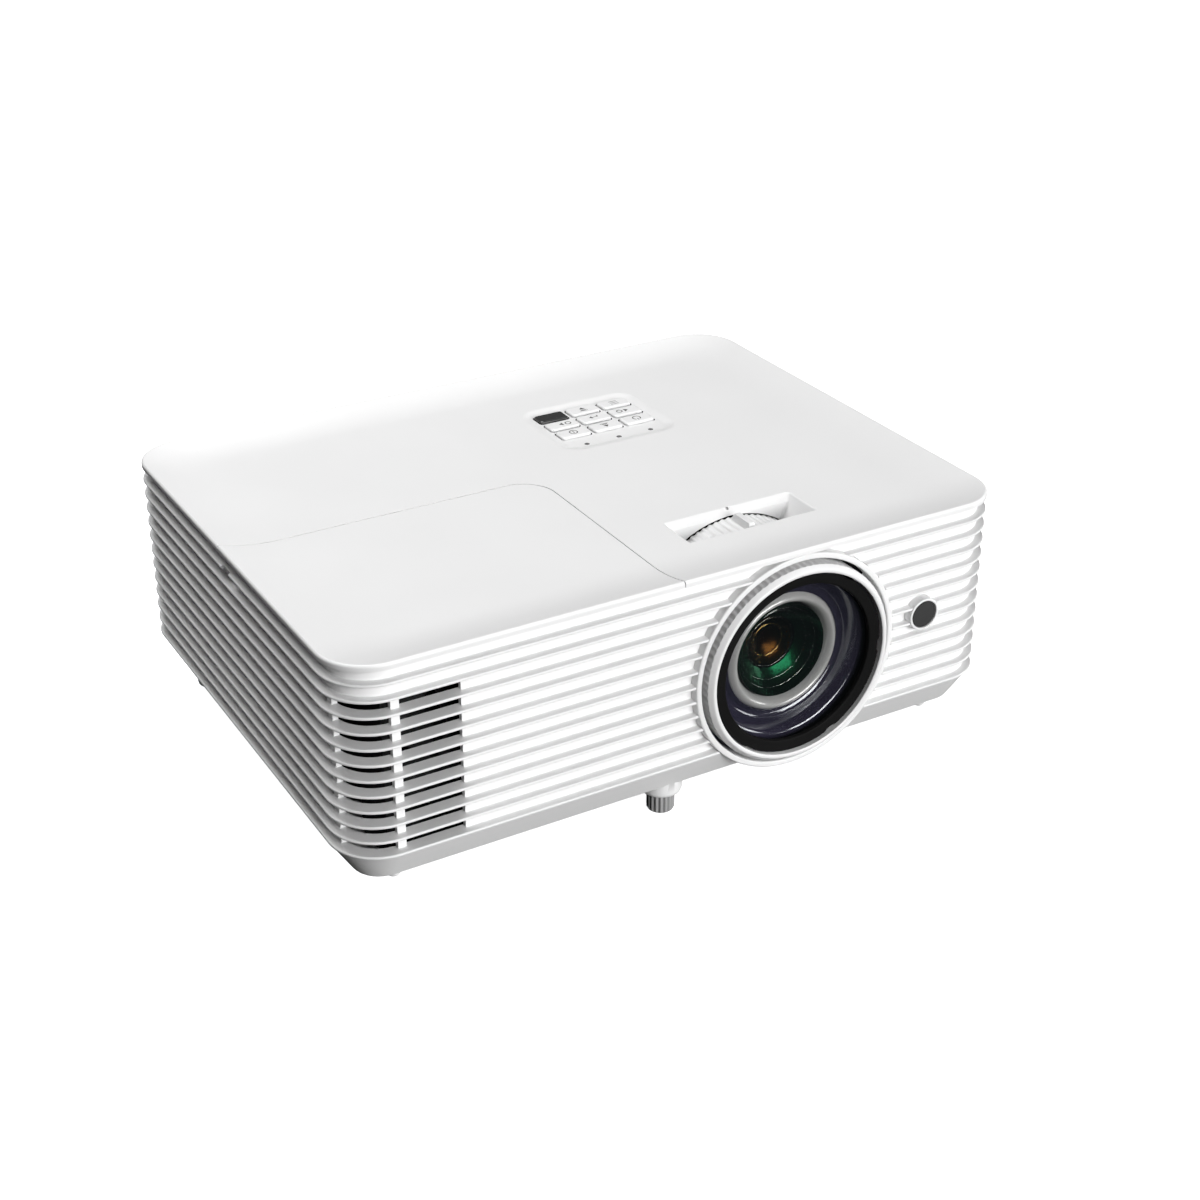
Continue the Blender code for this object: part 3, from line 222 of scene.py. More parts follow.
WHITE = plastic("moulded_white", grey(0.80), grey(0.815), 0.42, specular=0.45)
DRUM_WHITE = plastic("satin_white", grey(0.78), grey(0.80), 0.36, bump_mm=0.003, specular=0.5)
KEY_WHITE = plastic("key_white", grey(0.84), grey(0.86), 0.33, bump_mm=0.002, specular=0.5)
PRINT = plastic("grey_ink", grey(0.05), grey(0.07), 0.6, bump_mm=0.0)
FOOT_GREY = plastic("foot_grey", grey(0.30), grey(0.36), 0.55, bump_mm=0.01)
BLACK = plastic("moulded_black", grey(0.006), grey(0.009), 0.5, bump_mm=0.004, specular=0.04)
# Painted shade: near-black material for the case's inner faces and the key-hole walls, where only shade
# falls.
PAINTED_INNER_SHADE = plastic("painted_inner_shade", grey(0.012), grey(0.018), 0.7, specular=0.1)
SHADOW_BLACK = plastic("fan_black", grey(0.006), grey(0.010), 0.7, specular=0.2)
SMOKE = plastic("smoked_window", grey(0.045), grey(0.055), 0.12, bump_mm=0.0, coat=0.6)
LIGHT_PIPE = plastic("light_pipe", grey(0.16), grey(0.22), 0.25, bump_mm=0.0, coat=0.3)
BOARD = plastic("solder_mask", (0.01, 0.10, 0.04), (0.015, 0.14, 0.055), 0.35,
                grain_mm=0.8, bump_mm=0.01)
STEEL = metal("plated_steel", grey(0.55), grey(0.62), 0.32)
CAST = metal("cast_alloy", grey(0.30), grey(0.36), 0.5, grain_mm=0.8, bump_mm=0.03)
MIRROR = metal("reflector", grey(0.85), grey(0.9), 0.06, bump_mm=0.0)


# ---------------------------------------------------------------- geometry

def piece(name, points, faces, look, sharp=32.0):
    """A closed mesh from points in millimetres, smooth but for its sharp edges."""
    mesh = bpy.data.meshes.new(name)
    mesh.from_pydata([Vector(p) * MM for p in points], [], faces)
    shape = bmesh.new()
    shape.from_mesh(mesh)
    bmesh.ops.recalc_face_normals(shape, faces=shape.faces)
    shape.to_mesh(mesh)
    shape.free()
    if look:
        mesh.materials.append(look)
    thing = bpy.data.objects.new(name, mesh)
    bpy.context.scene.collection.objects.link(thing)
    soften(thing, sharp)
    return thing


def soften(thing, sharp=32.0):
    thing.data.shade_smooth()
    thing.data.set_sharp_from_angle(angle=math.radians(sharp))


def joined(target, *others, operation="DIFFERENCE"):
    """Cuts the others from the target, or unites them with it, and removes them."""
    for other in others:
        step = target.modifiers.new(other.name, "BOOLEAN")
        step.operation = operation
        step.solver = "EXACT"
        step.object = other
    graph = bpy.context.evaluated_depsgraph_get()
    made = bpy.data.meshes.new_from_object(target.evaluated_get(graph))
    target.modifiers.clear()
    target.data = made
    for other in others:
        bpy.data.objects.remove(other, do_unlink=True)
    return target


def finish_surface(thing, sharp=32.0):
    """Smooths a cut mesh and keeps its large flat faces flat in the shading."""
    soften(thing, sharp)
    step = thing.modifiers.new("even_shading", "WEIGHTED_NORMAL")
    step.keep_sharp = True
    step.weight = 100


def paint_key_gap_shade(top):
    """Painted shade: the same dark material on the walls of the holes that the keys stand in."""
    over = FIELD_Z - KEYPAD_RECESS - 0.1
    reach_x, reach_y = KEYPAD_SIZE[0] / 2, KEYPAD_SIZE[1] / 2
    middle_y = middle_mm("keypad_board").y
    for face in top.data.polygons:
        x, y, z = face.center / MM
        beside = abs(x - LENS_X) < reach_x and abs(y - middle_y) < reach_y
        if beside and z < over and abs(face.normal.z) < 0.5:
            face.material_index = 1


def paint_inner_shade(thing):
    """Painted shade: a dark material on the faces that look into the case, standing in for the shade inside
    it.
    """
    thing.data.materials.append(PAINTED_INNER_SHADE)
    slack = 0.25
    for face in thing.data.polygons:
        x, y, z = face.center / MM
        past_x = abs(x) - SIDE_X + CORNER_RADIUS
        past_y = abs(y - CASE_Y) - DEPTH / 2 + CORNER_RADIUS
        past = math.hypot(past_x, past_y) if past_x > 0 and past_y > 0 else max(past_x, past_y)
        if CORNER_RADIUS - past > INNER - slack:
            face.material_index = 1


def place_on(thing, body, slot, *nodes):
    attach(thing, body)
    if nodes:
        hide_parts(*nodes)
    return thing


def rounded_ring(width, depth, radius, z, steps=14, centre=(0.0, 0.0)):
    points = []
    for corner, (side_x, side_y) in enumerate(((1, 1), (-1, 1), (-1, -1), (1, -1))):
        middle_x = centre[0] + side_x * (width / 2 - radius)
        middle_y = centre[1] + side_y * (depth / 2 - radius)
        for step in range(steps + 1):
            angle = math.radians(90 * (corner + step / steps))
            points.append((middle_x + radius * math.cos(angle), middle_y + radius * math.sin(angle), z))
    return points


def bridge(rings, closed):
    count = len(rings[0])
    points = [p for ring in rings for p in ring]
    faces = []
    bands = len(rings) if closed else len(rings) - 1
    for band in range(bands):
        low = band * count
        high = ((band + 1) % len(rings)) * count
        for i in range(count):
            j = (i + 1) % count
            faces.append((low + i, low + j, high + j, high + i))
    if not closed:
        faces.append(tuple(range(count)))
        faces.append(tuple(range(len(points) - count, len(points))))
    return points, faces


def case_ring(inset, below_rim, corner=None):
    radius = CORNER_RADIUS - inset if corner is None else corner
    size = (WIDTH - 2 * inset, DEPTH - 2 * inset)
    return rounded_ring(*size, radius, RIM_Z - below_rim, centre=(0.0, CASE_Y))


def plate(name, size, radius, levels, centre, look=None, steps=8):
    """A stack of rounded rectangles: each level is (grow, z)."""
    rings = []
    for grow, z in levels:
        corner = max(radius + grow, 0.05)
        rings.append(rounded_ring(size[0] + 2 * grow, size[1] + 2 * grow, corner, z, steps, centre))
    return piece(name, *bridge(rings, False), look)


def box(name, low, high):
    rings = [[(low[0], low[1], z), (high[0], low[1], z), (high[0], high[1], z), (low[0], high[1], z)]
             for z in (low[2], high[2])]
    return piece(name, *bridge(rings, False), None)


TURN_TO = {
    "X": Matrix.Rotation(math.radians(90), 4, "Y"),
    "Y": Matrix.Rotation(math.radians(-90), 4, "X"),
    "Z": Matrix.Identity(4),
}


def lathe(name, profile, at, axis, look=None, segments=96, closed=False, depth_at=None, sharp=32.0):
    """(radius, along) points turned about an axis. `depth_at` takes a depth off the radius for a
    row of the profile and an angle, as for flutes."""
    rings = []
    for row, (radius, along) in enumerate(profile):
        ring = []
        for step in range(segments):
            angle = math.tau * step / segments
            reach = radius - (depth_at(row, angle) if depth_at else 0.0)
            point = TURN_TO[axis] @ Vector((reach * math.cos(angle), reach * math.sin(angle), along))
            ring.append(Vector(at) + point)
        rings.append(ring)
    return piece(name, *bridge(rings, closed), look, sharp)


def arc(centre_r, centre_y, radius, start, end, steps):
    """Points of (radius, along) round a rounding, between two angles in degrees."""
    points = []
    for step in range(steps + 1):
        angle = math.radians(start + (end - start) * step / steps)
        points.append((centre_r + radius * math.cos(angle), centre_y + radius * math.sin(angle)))
    return points


# ---------------------------------------------------------------- case

def rib_middle(index):
    return FIRST_RIB + PITCH * index


def shell_profile():
    """(inset, below the rim) points down the outside, with rounded noses and filleted roots."""
    points = [(RIB_DEPTH, RIM_BAND + GAP)]
    for index in range(RIB_COUNT):
        middle = rib_middle(index)
        last = index == RIB_COUNT - 1
        for step in range(4):
            angle = math.radians(90 * step / 3)
            inset = RIB_DEPTH - ROOT_FILLET * (1 - math.cos(angle))
            points.append((inset, middle - RIB_HALF - ROOT_FILLET * (1 - math.sin(angle))))
        for step in range(9):
            angle = math.radians(-90 + 180 * step / 8)
            inset = RIB_NOSE * (1 - math.cos(angle))
            points.append((inset, middle + RIB_HALF * math.sin(angle)))
        if last:
            points.append((SKIRT_START, middle + RIB_HALF))
            continue
        for step in range(4):
            angle = math.radians(90 * step / 3)
            inset = RIB_DEPTH - ROOT_FILLET * (1 - math.sin(angle))
            points.append((inset, middle + RIB_HALF + ROOT_FILLET * (1 - math.cos(angle))))
    return points


def vent_areas():
    """Corner pairs, in plan, of every air gap through the wall."""
    past = 0.55
    arc_x = -SIDE_X + CORNER_RADIUS
    arc_y = FRONT_Y + CORNER_RADIUS
    outer_y = FRONT_Y + RIB_DEPTH - past
    inner_y = FRONT_Y + INNER + past
    outer_x = -SIDE_X + RIB_DEPTH - past
    inner_x = -SIDE_X + INNER + past
    areas = [((arc_x + VENT_POST, outer_y), (arc_x + VENT_POST + VENT_LENGTH, inner_y))]
    areas.append(((outer_x, outer_y), (arc_x, arc_y - VENT_POST)))
    areas.append(((outer_x, arc_y), (inner_x, arc_y + VENT_TAIL)))
    for index in range(OUTLET_COUNT):
        start = arc_y + CORNER_RADIUS + index * (OUTLET_LENGTH + VENT_POST)
        areas.append(((-inner_x, start), (-outer_x, start + OUTLET_LENGTH)))
    return areas


def vent_cutter():
    points = []
    faces = []
    into_ribs = 0.02
    for row in range(1, RIB_COUNT - 1):
        high = RIM_Z - rib_middle(row) - RIB_HALF + into_ribs
        low = RIM_Z - rib_middle(row + 1) + RIB_HALF - into_ribs
        for (x0, y0), (x1, y1) in vent_areas():
            rings = [[(x0, y0, z), (x1, y0, z), (x1, y1, z), (x0, y1, z)] for z in (low, high)]
            start = len(points)
            box_points, box_faces = bridge(rings, False)
            points += box_points
            faces += [tuple(start + i for i in face) for face in box_faces]
    return piece("cut_vents", points, faces, None)


def lens_hole(name, radius, start_y, end_y, segments=128):
    return lathe(name, [(radius, start_y), (radius, end_y)], (LENS_X, 0, LENS_Z), "Y", segments=segments)


def make_shell():
    outside = [case_ring(*p) for p in shell_profile()]
    inside = [case_ring(INNER, SPLIT_BELOW), case_ring(INNER, RIM_BAND + GAP)]
    shell = piece("case_shell", *bridge(outside + inside, True), WHITE)
    bezel_radius = (box_mm("lens_bezel")[1].x - box_mm("lens_bezel")[0].x) / 2
    eye = middle_mm("front_eye_bezel")
    eye_radius = (box_mm("front_eye_bezel")[1].x - box_mm("front_eye_bezel")[0].x) / 2 + GAP / 2
    eye_hole = lathe("cut_eye", [(eye_radius, FRONT_Y - WALL), (eye_radius, FRONT_Y + 9)],
                     (eye.x, 0, eye.z), "Y", segments=64)
    panel_low, panel_high = box_mm("rear_panel")
    panel_hole = box("cut_panel", (panel_low.x - GAP, panel_low.y - WALL, panel_low.z - GAP),
                     (panel_high.x + GAP, panel_high.y + 9, panel_high.z + GAP))
    notch_y = SEAM_Y - NOTCH_FROM_SEAM
    first = RIM_Z - FIRST_RIB
    notch = box("cut_notch", (-SIDE_X - WALL, notch_y - NOTCH_LENGTH, first - 1.35),
                (-SIDE_X + 1.5, notch_y, first + 1.35))
    joined(shell, vent_cutter(), lens_hole("cut_bezel", bezel_radius + GAP / 2, FRONT_Y - WALL, FRONT_Y + 9),
           eye_hole, panel_hole, notch)
    # Painted shade on the faces that look into the case.
    paint_inner_shade(shell)
    finish_surface(shell)
    return place_on(shell, "case", "case_plastic", "side_shell")


def dish(name):
    """The whole top with its band, rounded crest and shallow dish, before it is divided."""
    rings = [case_ring(INNER + GAP, DISH_DEPTH + WALL), case_ring(INNER + GAP, RIM_BAND)]
    rings += [case_ring(0.3, RIM_BAND), case_ring(0.09, RIM_BAND - 0.09), case_ring(0.0, RIM_BAND - 0.3)]
    for step in range(7):
        angle = math.radians(90 * step / 6)
        rings.append(case_ring(CREST * (1 - math.cos(angle)), CREST * (1 - math.sin(angle))))
    steps = 16
    for step in range(1, steps + 1):
        share = step / steps
        inset = CREST + (DISH_RISE - CREST) * share
        fall = DISH_DEPTH * (1 - (1 - share) ** 2)
        corner = CORNER_RADIUS - (CORNER_RADIUS - DISH_CORNER) * inset / DISH_RISE
        rings.append(case_ring(inset, fall, corner=corner))
    return piece(name, *bridge(rings, False), WHITE)


def seam_prism(name, grow):
    reach = CORNER_RADIUS
    low_x = -SIDE_X - reach
    low_y = FRONT_Y - reach
    edge_x = SEAM_X + grow
    edge_y = SEAM_Y + grow
    outline = [(low_x, low_y), (edge_x, low_y)]
    steps = 16
    for step in range(steps + 1):
        angle = math.radians(90 * step / steps)
        outline.append((edge_x - LAMP_COVER_CORNER * (1 - math.cos(angle)),
                        edge_y - LAMP_COVER_CORNER * (1 - math.sin(angle))))
    outline.append((low_x, edge_y))
    rings = [[(x, y, z) for x, y in outline] for z in (FIELD_Z - reach, RIM_Z + reach)]
    return piece(name, *bridge(rings, False), None)


def slot_ring(z, grow):
    """The focus slot's outline at a height: its ends slope in, its back slopes only near the top,
    and its front is upright."""
    share = (FIELD_Z - z) / SLOT_HEIGHT
    half = SLOT_WIDTH / 2 - SLOT_FLARE * share + grow
    fall = min(max(FIELD_Z - z, 0.0) / SLOT_BACK_FALL, 1.0)
    back = SLOT_Y + SLOT_DEPTH / 2 - SLOT_BACK_SLOPE * fall + grow
    front = SLOT_Y - SLOT_DEPTH / 2 - grow
    corner = SLOT_CORNER + max(grow, 0.0)
    return rounded_ring(2 * half, back - front, corner, z, 6, (LENS_X, (front + back) / 2))


def slot_solid(name, grow, levels):
    return piece(name, *bridge([slot_ring(z, grow + more) for more, z in levels], False), None)


def keypad_cutter():
    """The keypad's shallow recess, whose edge falls in a soft curve."""
    middle = (LENS_X, middle_mm("keypad_board").y)
    levels = [(0.0, RIM_Z)]
    for step in range(9):
        share = step / 8
        fall = KEYPAD_RECESS * share * share * (3 - 2 * share)
        levels.append((-KEYPAD_EDGE * share, FIELD_Z + 0.002 - fall))
    rings = []
    for grow, z in levels:
        size = (KEYPAD_SIZE[0] + 2 * grow, KEYPAD_SIZE[1] + 2 * grow)
        rings.append(rounded_ring(*size, KEYPAD_CORNER + grow, z, 12, middle))
    return piece("cut_keypad", *bridge(rings, False), None)


KEY_NODES = ("key_up", "key_menu", "key_left", "key_enter", "key_right", "key_info", "key_down", "key_power")
KEY_SIZE = (15.2, 8.6)
LED_NODES = ("led_temp", "led_lamp", "led_power")


def make_top():
    top = dish("case_top")
    lens_front = lens_hole("cut_top_bezel", BEZEL_RADIUS + GAP / 2, FRONT_Y - WALL, FRONT_Y + INNER + GAP)
    depths = (WALL / 2, SLOT_BACK_FALL, SLOT_HEIGHT)
    walls = slot_solid("slot_walls", WALL, [(0, FIELD_Z - depth) for depth in depths])
    joined(top, walls, operation="UNION")
    levels = [(0.7, FIELD_Z + 0.3), (0.35, FIELD_Z - 0.02), (0.1, FIELD_Z - 0.2), (0.0, FIELD_Z - 0.6)]
    levels += [(0.0, FIELD_Z - SLOT_BACK_FALL), (0.0, FIELD_Z - SLOT_HEIGHT - WALL)]
    slot = slot_solid("cut_slot", 0.0, levels)
    drum = lens_hole("cut_drum", DRUM_RADIUS + DRUM_CLEARANCE, FRONT_Y + INNER, FRONT_Y + 140, 180)
    mark_at = (LENS_X, SLOT_Y + SLOT_DEPTH / 2 + 0.2, FIELD_Z - 1.0)
    mark = lathe("cut_mark", arc(0, 0, MARK_RADIUS, -89, 89, 8), mark_at, "Z", segments=24)
    cuts = [seam_prism("cut_lamp_area", SEAM / 2), keypad_cutter(), slot, drum, lens_front, mark]
    for node in (*KEY_NODES, "top_eye_window"):
        middle = middle_mm(node)
        size = (KEY_SIZE[0] + 2 * KEY_GAP, KEY_SIZE[1] + 2 * KEY_GAP)
        levels = [(0, COVER_UNDER_Z - 3), (0, RIM_Z)]
        cuts.append(plate(f"cut_{node}", size, 1.9, levels, (middle.x, middle.y), steps=5))
    for node in LED_NODES:
        middle = middle_mm(node)
        profile = [(LED_HOLE, COVER_UNDER_Z - 3), (LED_HOLE, RIM_Z)]
        cuts.append(lathe(f"cut_{node}", profile, (middle.x, middle.y, 0), "Z", segments=24))
    joined(top, *cuts)
    # Second material slot: painted shade for the walls of the key holes.
    top.data.materials.append(PAINTED_INNER_SHADE)
    paint_key_gap_shade(top)
    finish_surface(top)
    place_on(top, "case", "case_plastic", "top_cover")
    lamp = joined(dish("lamp_door"), seam_prism("keep_lamp_area", -SEAM / 2), operation="INTERSECT")
    finish_surface(lamp)
    place_on(lamp, "lamp_cover", "case_plastic", "lamp_cover")


def make_tray():
    """The smooth tray under the ribs, with the foot bosses and the two fixed stops."""
    bottom = RIM_Z - UNDER_Z
    edge = 1.0
    slope = (SKIRT_INSET - SKIRT_START) / (bottom - SPLIT_BELOW)
    outside = [case_ring(SKIRT_START, SPLIT_BELOW + GAP)]
    corner_at = CORNER_RADIUS - SKIRT_INSET
    outside.append(case_ring(SKIRT_INSET - slope * edge, bottom - edge, corner=corner_at + slope * edge))
    outside.append(case_ring(SKIRT_INSET - 0.1, bottom - 0.35, corner=corner_at + 0.1))
    outside.append(case_ring(SKIRT_INSET + 0.5, bottom, corner=corner_at - 0.5))
    thick = WALL * 1.25
    inside = [case_ring(SKIRT_INSET + thick, bottom - WALL)]
    inside.append(case_ring(SKIRT_START + INNER, SPLIT_BELOW + GAP))
    rings = outside + inside
    points, faces = bridge(rings, True)
    count = len(rings[0])
    under = len(outside) - 1
    faces = faces[:under * count] + faces[(under + 1) * count:]
    faces.append(tuple(range(under * count, (under + 1) * count)))
    faces.append(tuple(range((under + 1) * count, (under + 2) * count)))
    tray = piece("case_tray", points, faces, WHITE)
    bosses = []
    holes = []
    for foot in ("front", "rear_left", "rear_right"):
        middle = middle_mm(f"{foot}_foot_knob")
        low = UNDER_Z - 6.5
        edge = arc(BOSS_RADIUS - 2.3, low + 2.3, 2.3, -75, 0, 6)
        profile = [(6.6, low)] + edge + [(BOSS_RADIUS, UNDER_Z + 18)]
        bosses.append(lathe(f"boss_{foot}", profile, (middle.x, middle.y, 0), "Z", segments=48))
        hole = [(6.45, low - 3), (6.45, UNDER_Z + 4.5), (3.3, UNDER_Z + 4.5), (3.3, UNDER_Z + 21)]
        holes.append(lathe(f"cut_boss_{foot}", hole, (middle.x, middle.y, 0), "Z", segments=48))
    for side in (-1, 1):
        profile = [(1.2, UNDER_Z - 5.85)] + arc(1.6, UNDER_Z - 4.45, 1.4, -85, 0, 6) + [(3.0, UNDER_Z + 1)]
        place = (side * (SIDE_X - 25.35), FRONT_Y + 18.2, 0)
        bosses.append(lathe(f"stop_{side}", profile, place, "Z", segments=32))
    for index in range(4):
        middle = middle_mm(f"case_screw_{index + 1}")
        bosses.append(lathe(f"screw_boss_{index}", [(4.5, UNDER_Z + 1), (4.5, UNDER_Z + 20)],
                            (middle.x, middle.y, 0), "Z", segments=32))
        hole = [(3.6, UNDER_Z - 3), (3.3, UNDER_Z + 0.4), (3.3, UNDER_Z + 2.6)]
        hole += [(1.8, UNDER_Z + 2.6), (1.8, UNDER_Z + 23)]
        holes.append(lathe(f"cut_screw_{index}", hole, (middle.x, middle.y, 0), "Z", segments=32))
    joined(tray, *bosses, operation="UNION")
    bezel_end = FRONT_Y + SKIRT_INSET - GAP / 2
    holes.append(lens_hole("cut_tray_bezel", BEZEL_RADIUS + GAP / 2, FRONT_Y - WALL, bezel_end))
    holes.append(lens_hole("cut_tray_drum", DRUM_RADIUS + 0.6, FRONT_Y, DRUM_BACK_Y + WALL, 180))
    joined(tray, *holes)
    finish_surface(tray)
    return place_on(tray, "case", "case_plastic", "bottom_tray")


# ---------------------------------------------------------------- lens

def make_bezel():
    outer = BEZEL_RADIUS
    inner = outer - BEZEL_WALL
    front = FRONT_Y - BEZEL_PROUD
    back = FRONT_Y + SKIRT_INSET - 0.6
    soft = BEZEL_ROUNDING
    profile = [(outer, back)]
    profile += [(outer - soft * (1 - math.cos(a)), front + soft * (1 - math.sin(a)))
                for a in (math.radians(15 * i) for i in range(7))]
    profile += [(inner + soft * (1 - math.sin(a)), front + soft * (1 - math.cos(a)))
                for a in (math.radians(15 * i) for i in range(7))]
    profile.append((inner, back))
    bezel = lathe("lens_sleeve", profile, (LENS_X, 0, LENS_Z), "Y", WHITE, segments=160, closed=True)
    low = (LENS_X - 110, FRONT_Y + INNER - GAP, UNDER_Z + 15.0)
    high = (LENS_X + 110, back + WALL, RIM_Z)
    joined(bezel, box("cut_sleeve_back", low, high))
    finish_surface(bezel)
    return place_on(bezel, "case", "case_plastic", "lens_bezel")


def flute(angle):
    """Depth of the drum's grip flutes at an angle: flat ridges with round grooves between them."""
    place = abs((angle * FLUTE_COUNT / math.tau) % 1.0 - 0.5) * 2
    groove = 0.72
    if place > groove:
        return 0.0
    return FLUTE_DEPTH * math.cos(place / groove * math.pi / 2) ** 0.7


def make_focus_ring():
    inner = DRUM_RADIUS - DRUM_WALL
    chamfer_end = LIP_Y + 2.0
    profile = [(DRUM_RADIUS, DRUM_BACK_Y), (DRUM_RADIUS, chamfer_end + 0.35)]
    profile.append((DRUM_RADIUS - 0.15, chamfer_end))
    profile += [(44.5, LIP_Y + 0.45), (44.2, LIP_Y + 0.12), (43.9, LIP_Y), (43.1, LIP_Y)]
    profile.append((42.85, LIP_Y + 0.1))
    profile += [(inner, LIP_Y + 0.45), (inner, DRUM_BACK_Y)]

    def depth(row, angle):
        return flute(angle) if row in (0, 1) else 0.0

    ring = lathe("focus_drum", profile, (LENS_X, 0, LENS_Z), "Y", DRUM_WHITE,
                 segments=FLUTE_COUNT * 8, closed=True, depth_at=depth, sharp=38)
    top = FIELD_Z + 0.9
    low = LENS_Z + DRUM_RADIUS - 1.7
    front = SLOT_Y - 9.2
    back = front + 12.1
    lever = lever_mesh(front, back, low, top)
    joined(ring, lever, operation="UNION")
    finish_surface(ring, 38)
    return place_on(ring, "focus_ring", "drum_plastic", "focus_ring")


def lever_mesh(front, back, low, top):
    """The finger lever: a thin fin with a rounded top edge and a round front end."""
    half = 1.5
    outline = [(front, low), (front, top - 1.0)]
    outline += [(front + 1.0 - math.cos(a), top - 1.0 + math.sin(a))
                for a in (math.radians(22.5 * i) for i in range(1, 5))]
    outline += [(back - 0.8, top), (back, top - 0.5), (back + 3.0, low)]
    rings = []
    middle_y = (front + back) / 2
    middle_z = (low + top) / 2
    for x, shrink in ((-half, 0.5), (-half + 0.15, 0.15), (-half + 0.5, 0.0),
                      (half - 0.5, 0.0), (half - 0.15, 0.15), (half, 0.5)):
        ring = []
        for y, z in outline:
            reach = Vector((y - middle_y, z - middle_z))
            length = reach.length
            scale = (length - shrink) / length
            ring.append((LENS_X + x, middle_y + reach.x * scale, middle_z + reach.y * scale))
        rings.append(ring)
    return piece("lever", *bridge(rings, False), DRUM_WHITE)


def glass(name, tint, cover):
    """Thin clear coated glass: it covers little of what is behind it, with a faint smear in its polish."""
    made, nodes, links = new_material(name)
    shader = nodes["Principled BSDF"]
    shader.inputs["Base Color"].default_value = (*tint, 1.0)
    shader.inputs["IOR"].default_value = 2.0
    place = nodes.new("ShaderNodeTexCoord")
    smear = nodes.new("ShaderNodeTexNoise")
    smear.inputs["Scale"].default_value = 60.0
    links.new(place.outputs["Object"], smear.inputs["Vector"])
    for socket, low, high in (("Roughness", 0.02, 0.05), ("Alpha", cover * 0.9, cover * 1.1)):
        spread = nodes.new("ShaderNodeMapRange")
        spread.inputs["To Min"].default_value = low
        spread.inputs["To Max"].default_value = high
        links.new(smear.outputs["Fac"], spread.inputs["Value"])
        links.new(spread.outputs["Result"], shader.inputs[socket])
    return made


def coated(name, inner, outer, reach_mm, tint, roughness, ior):
    """An opaque look for a lens surface: dark glass whose colour changes outwards from its axis,
    under a coating that tints what it reflects."""
    made, nodes, links = new_material(name)
    shader = nodes["Principled BSDF"]
    shader.inputs["Specular Tint"].default_value = (*tint, 1.0)
    shader.inputs["IOR"].default_value = ior
    place = grain(nodes, links, shader, 3.0, 0.0, roughness, spread=0.02)
    away = nodes.new("ShaderNodeVectorMath")
    away.operation = "LENGTH"
    flat = nodes.new("ShaderNodeVectorMath")
    flat.operation = "MULTIPLY_ADD"
    flat.inputs[1].default_value = (1.0, 0.0, 1.0)
    flat.inputs[2].default_value = (-LENS_X * MM, 0.0, -LENS_Z * MM)
    links.new(place.outputs["Object"], flat.inputs[0])
    links.new(flat.outputs["Vector"], away.inputs[0])
    share = nodes.new("ShaderNodeMapRange")
    share.inputs["From Max"].default_value = reach_mm * MM
    links.new(away.outputs["Value"], share.inputs["Value"])
    ramp = nodes.new("ShaderNodeValToRGB")
    ramp.color_ramp.elements[0].color = (*inner, 1.0)
    ramp.color_ramp.elements[1].color = (*outer, 1.0)
    links.new(share.outputs["Result"], ramp.inputs["Fac"])
    links.new(ramp.outputs["Color"], shader.inputs["Base Color"])
    return made


FRONT_GLASS = glass("front_glass", (0.010, 0.012, 0.014), 0.16)
BOWL_GLASS = coated("bowl_glass", (0.020, 0.024, 0.024), (0.030, 0.026, 0.050), 38.0,
                    (0.94, 0.97, 1.0), 0.14, 2.6)
RING_SATIN = coated("satin_ring", (0.22, 0.23, 0.22), (0.50, 0.50, 0.49), 28.0, (1.0, 1.0, 1.0), 0.16, 2.4)
GREEN_GLASS = coated("green_glass", (0.001, 0.005, 0.003), (0.002, 0.004, 0.003), 22.0,
                     (0.05, 0.70, 0.28), 0.22, 1.7)
AMBER_GLASS = coated("amber_glass", (0.003, 0.002, 0.002), (0.001, 0.003, 0.002), 9.0,
                     (1.0, 0.42, 0.08), 0.22, 1.45)
GOLD = metal("gilt_edge", (0.85, 0.60, 0.22), (0.95, 0.70, 0.30), 0.22)
SILVER = metal("bright_edge", grey(0.75), grey(0.85), 0.18)


def make_retainer():
    outer = DRUM_RADIUS - DRUM_WALL - RETAINER_GAP
    front = FRONT_Y - RETAINER_PROUD
    back = FRONT_Y + 0.3
    view = RETAINER_VIEW
    profile = [(outer, back), (outer, front + 0.25), (outer - 0.25, front), (view + 1.0, front + 0.1)]
    profile += [(view + 0.3, front + 0.4), (view, front + 1.0), (view, back)]

    def notch(row, angle):
        turn = math.degrees(angle) % 60.0
        return RETAINER_NOTCH if row in (0, 1, 2) and turn < 8.0 else 0.0

    axis = (LENS_X, 0, LENS_Z)
    ring = lathe("glass_retainer", profile, axis, "Y", BLACK, segments=180, closed=True, depth_at=notch)
    finish_surface(ring)
    return place_on(ring, "lens_group", "lens_black", "lens_retainer")


def dome(radius, curve, apex, steps):
    """Points from the middle outwards on a sphere's cap, which falls back from its apex."""
    points = []
    for step in range(1, steps + 1):
        r = radius * step / steps
        points.append((r, apex + curve - math.sqrt(curve * curve - r * r)))
    return points


def hollow(radius, curve, rim, steps, start=0.0):
    """Points inwards from the rim of a sphere's hollow, which is deepest at its middle."""
    level = math.sqrt(curve * curve - radius * radius)
    points = []
    for step in range(steps + 1):
        r = radius + (start - radius) * step / steps
        points.append((r, rim + math.sqrt(curve * curve - r * r) - level))
    return points


def smooth_profile(knots, steps):
    """A Catmull-Rom curve through (radius, along) knots."""
    points = []
    last = len(knots) - 1
    for i in range(last):
        p0, p1, p2, p3 = (Vector(knots[min(max(j, 0), last)]) for j in (i - 1, i, i + 1, i + 2))
        for step in range(steps):
            t = step / steps
            point = 0.5 * (2 * p1 + (p2 - p0) * t + (2 * p0 - 5 * p1 + 4 * p2 - p3) * t * t
                           + (3 * p1 - p0 - 3 * p2 + p3) * t * t * t)
            points.append((point.x, point.y))
    points.append(tuple(knots[-1]))
    return points


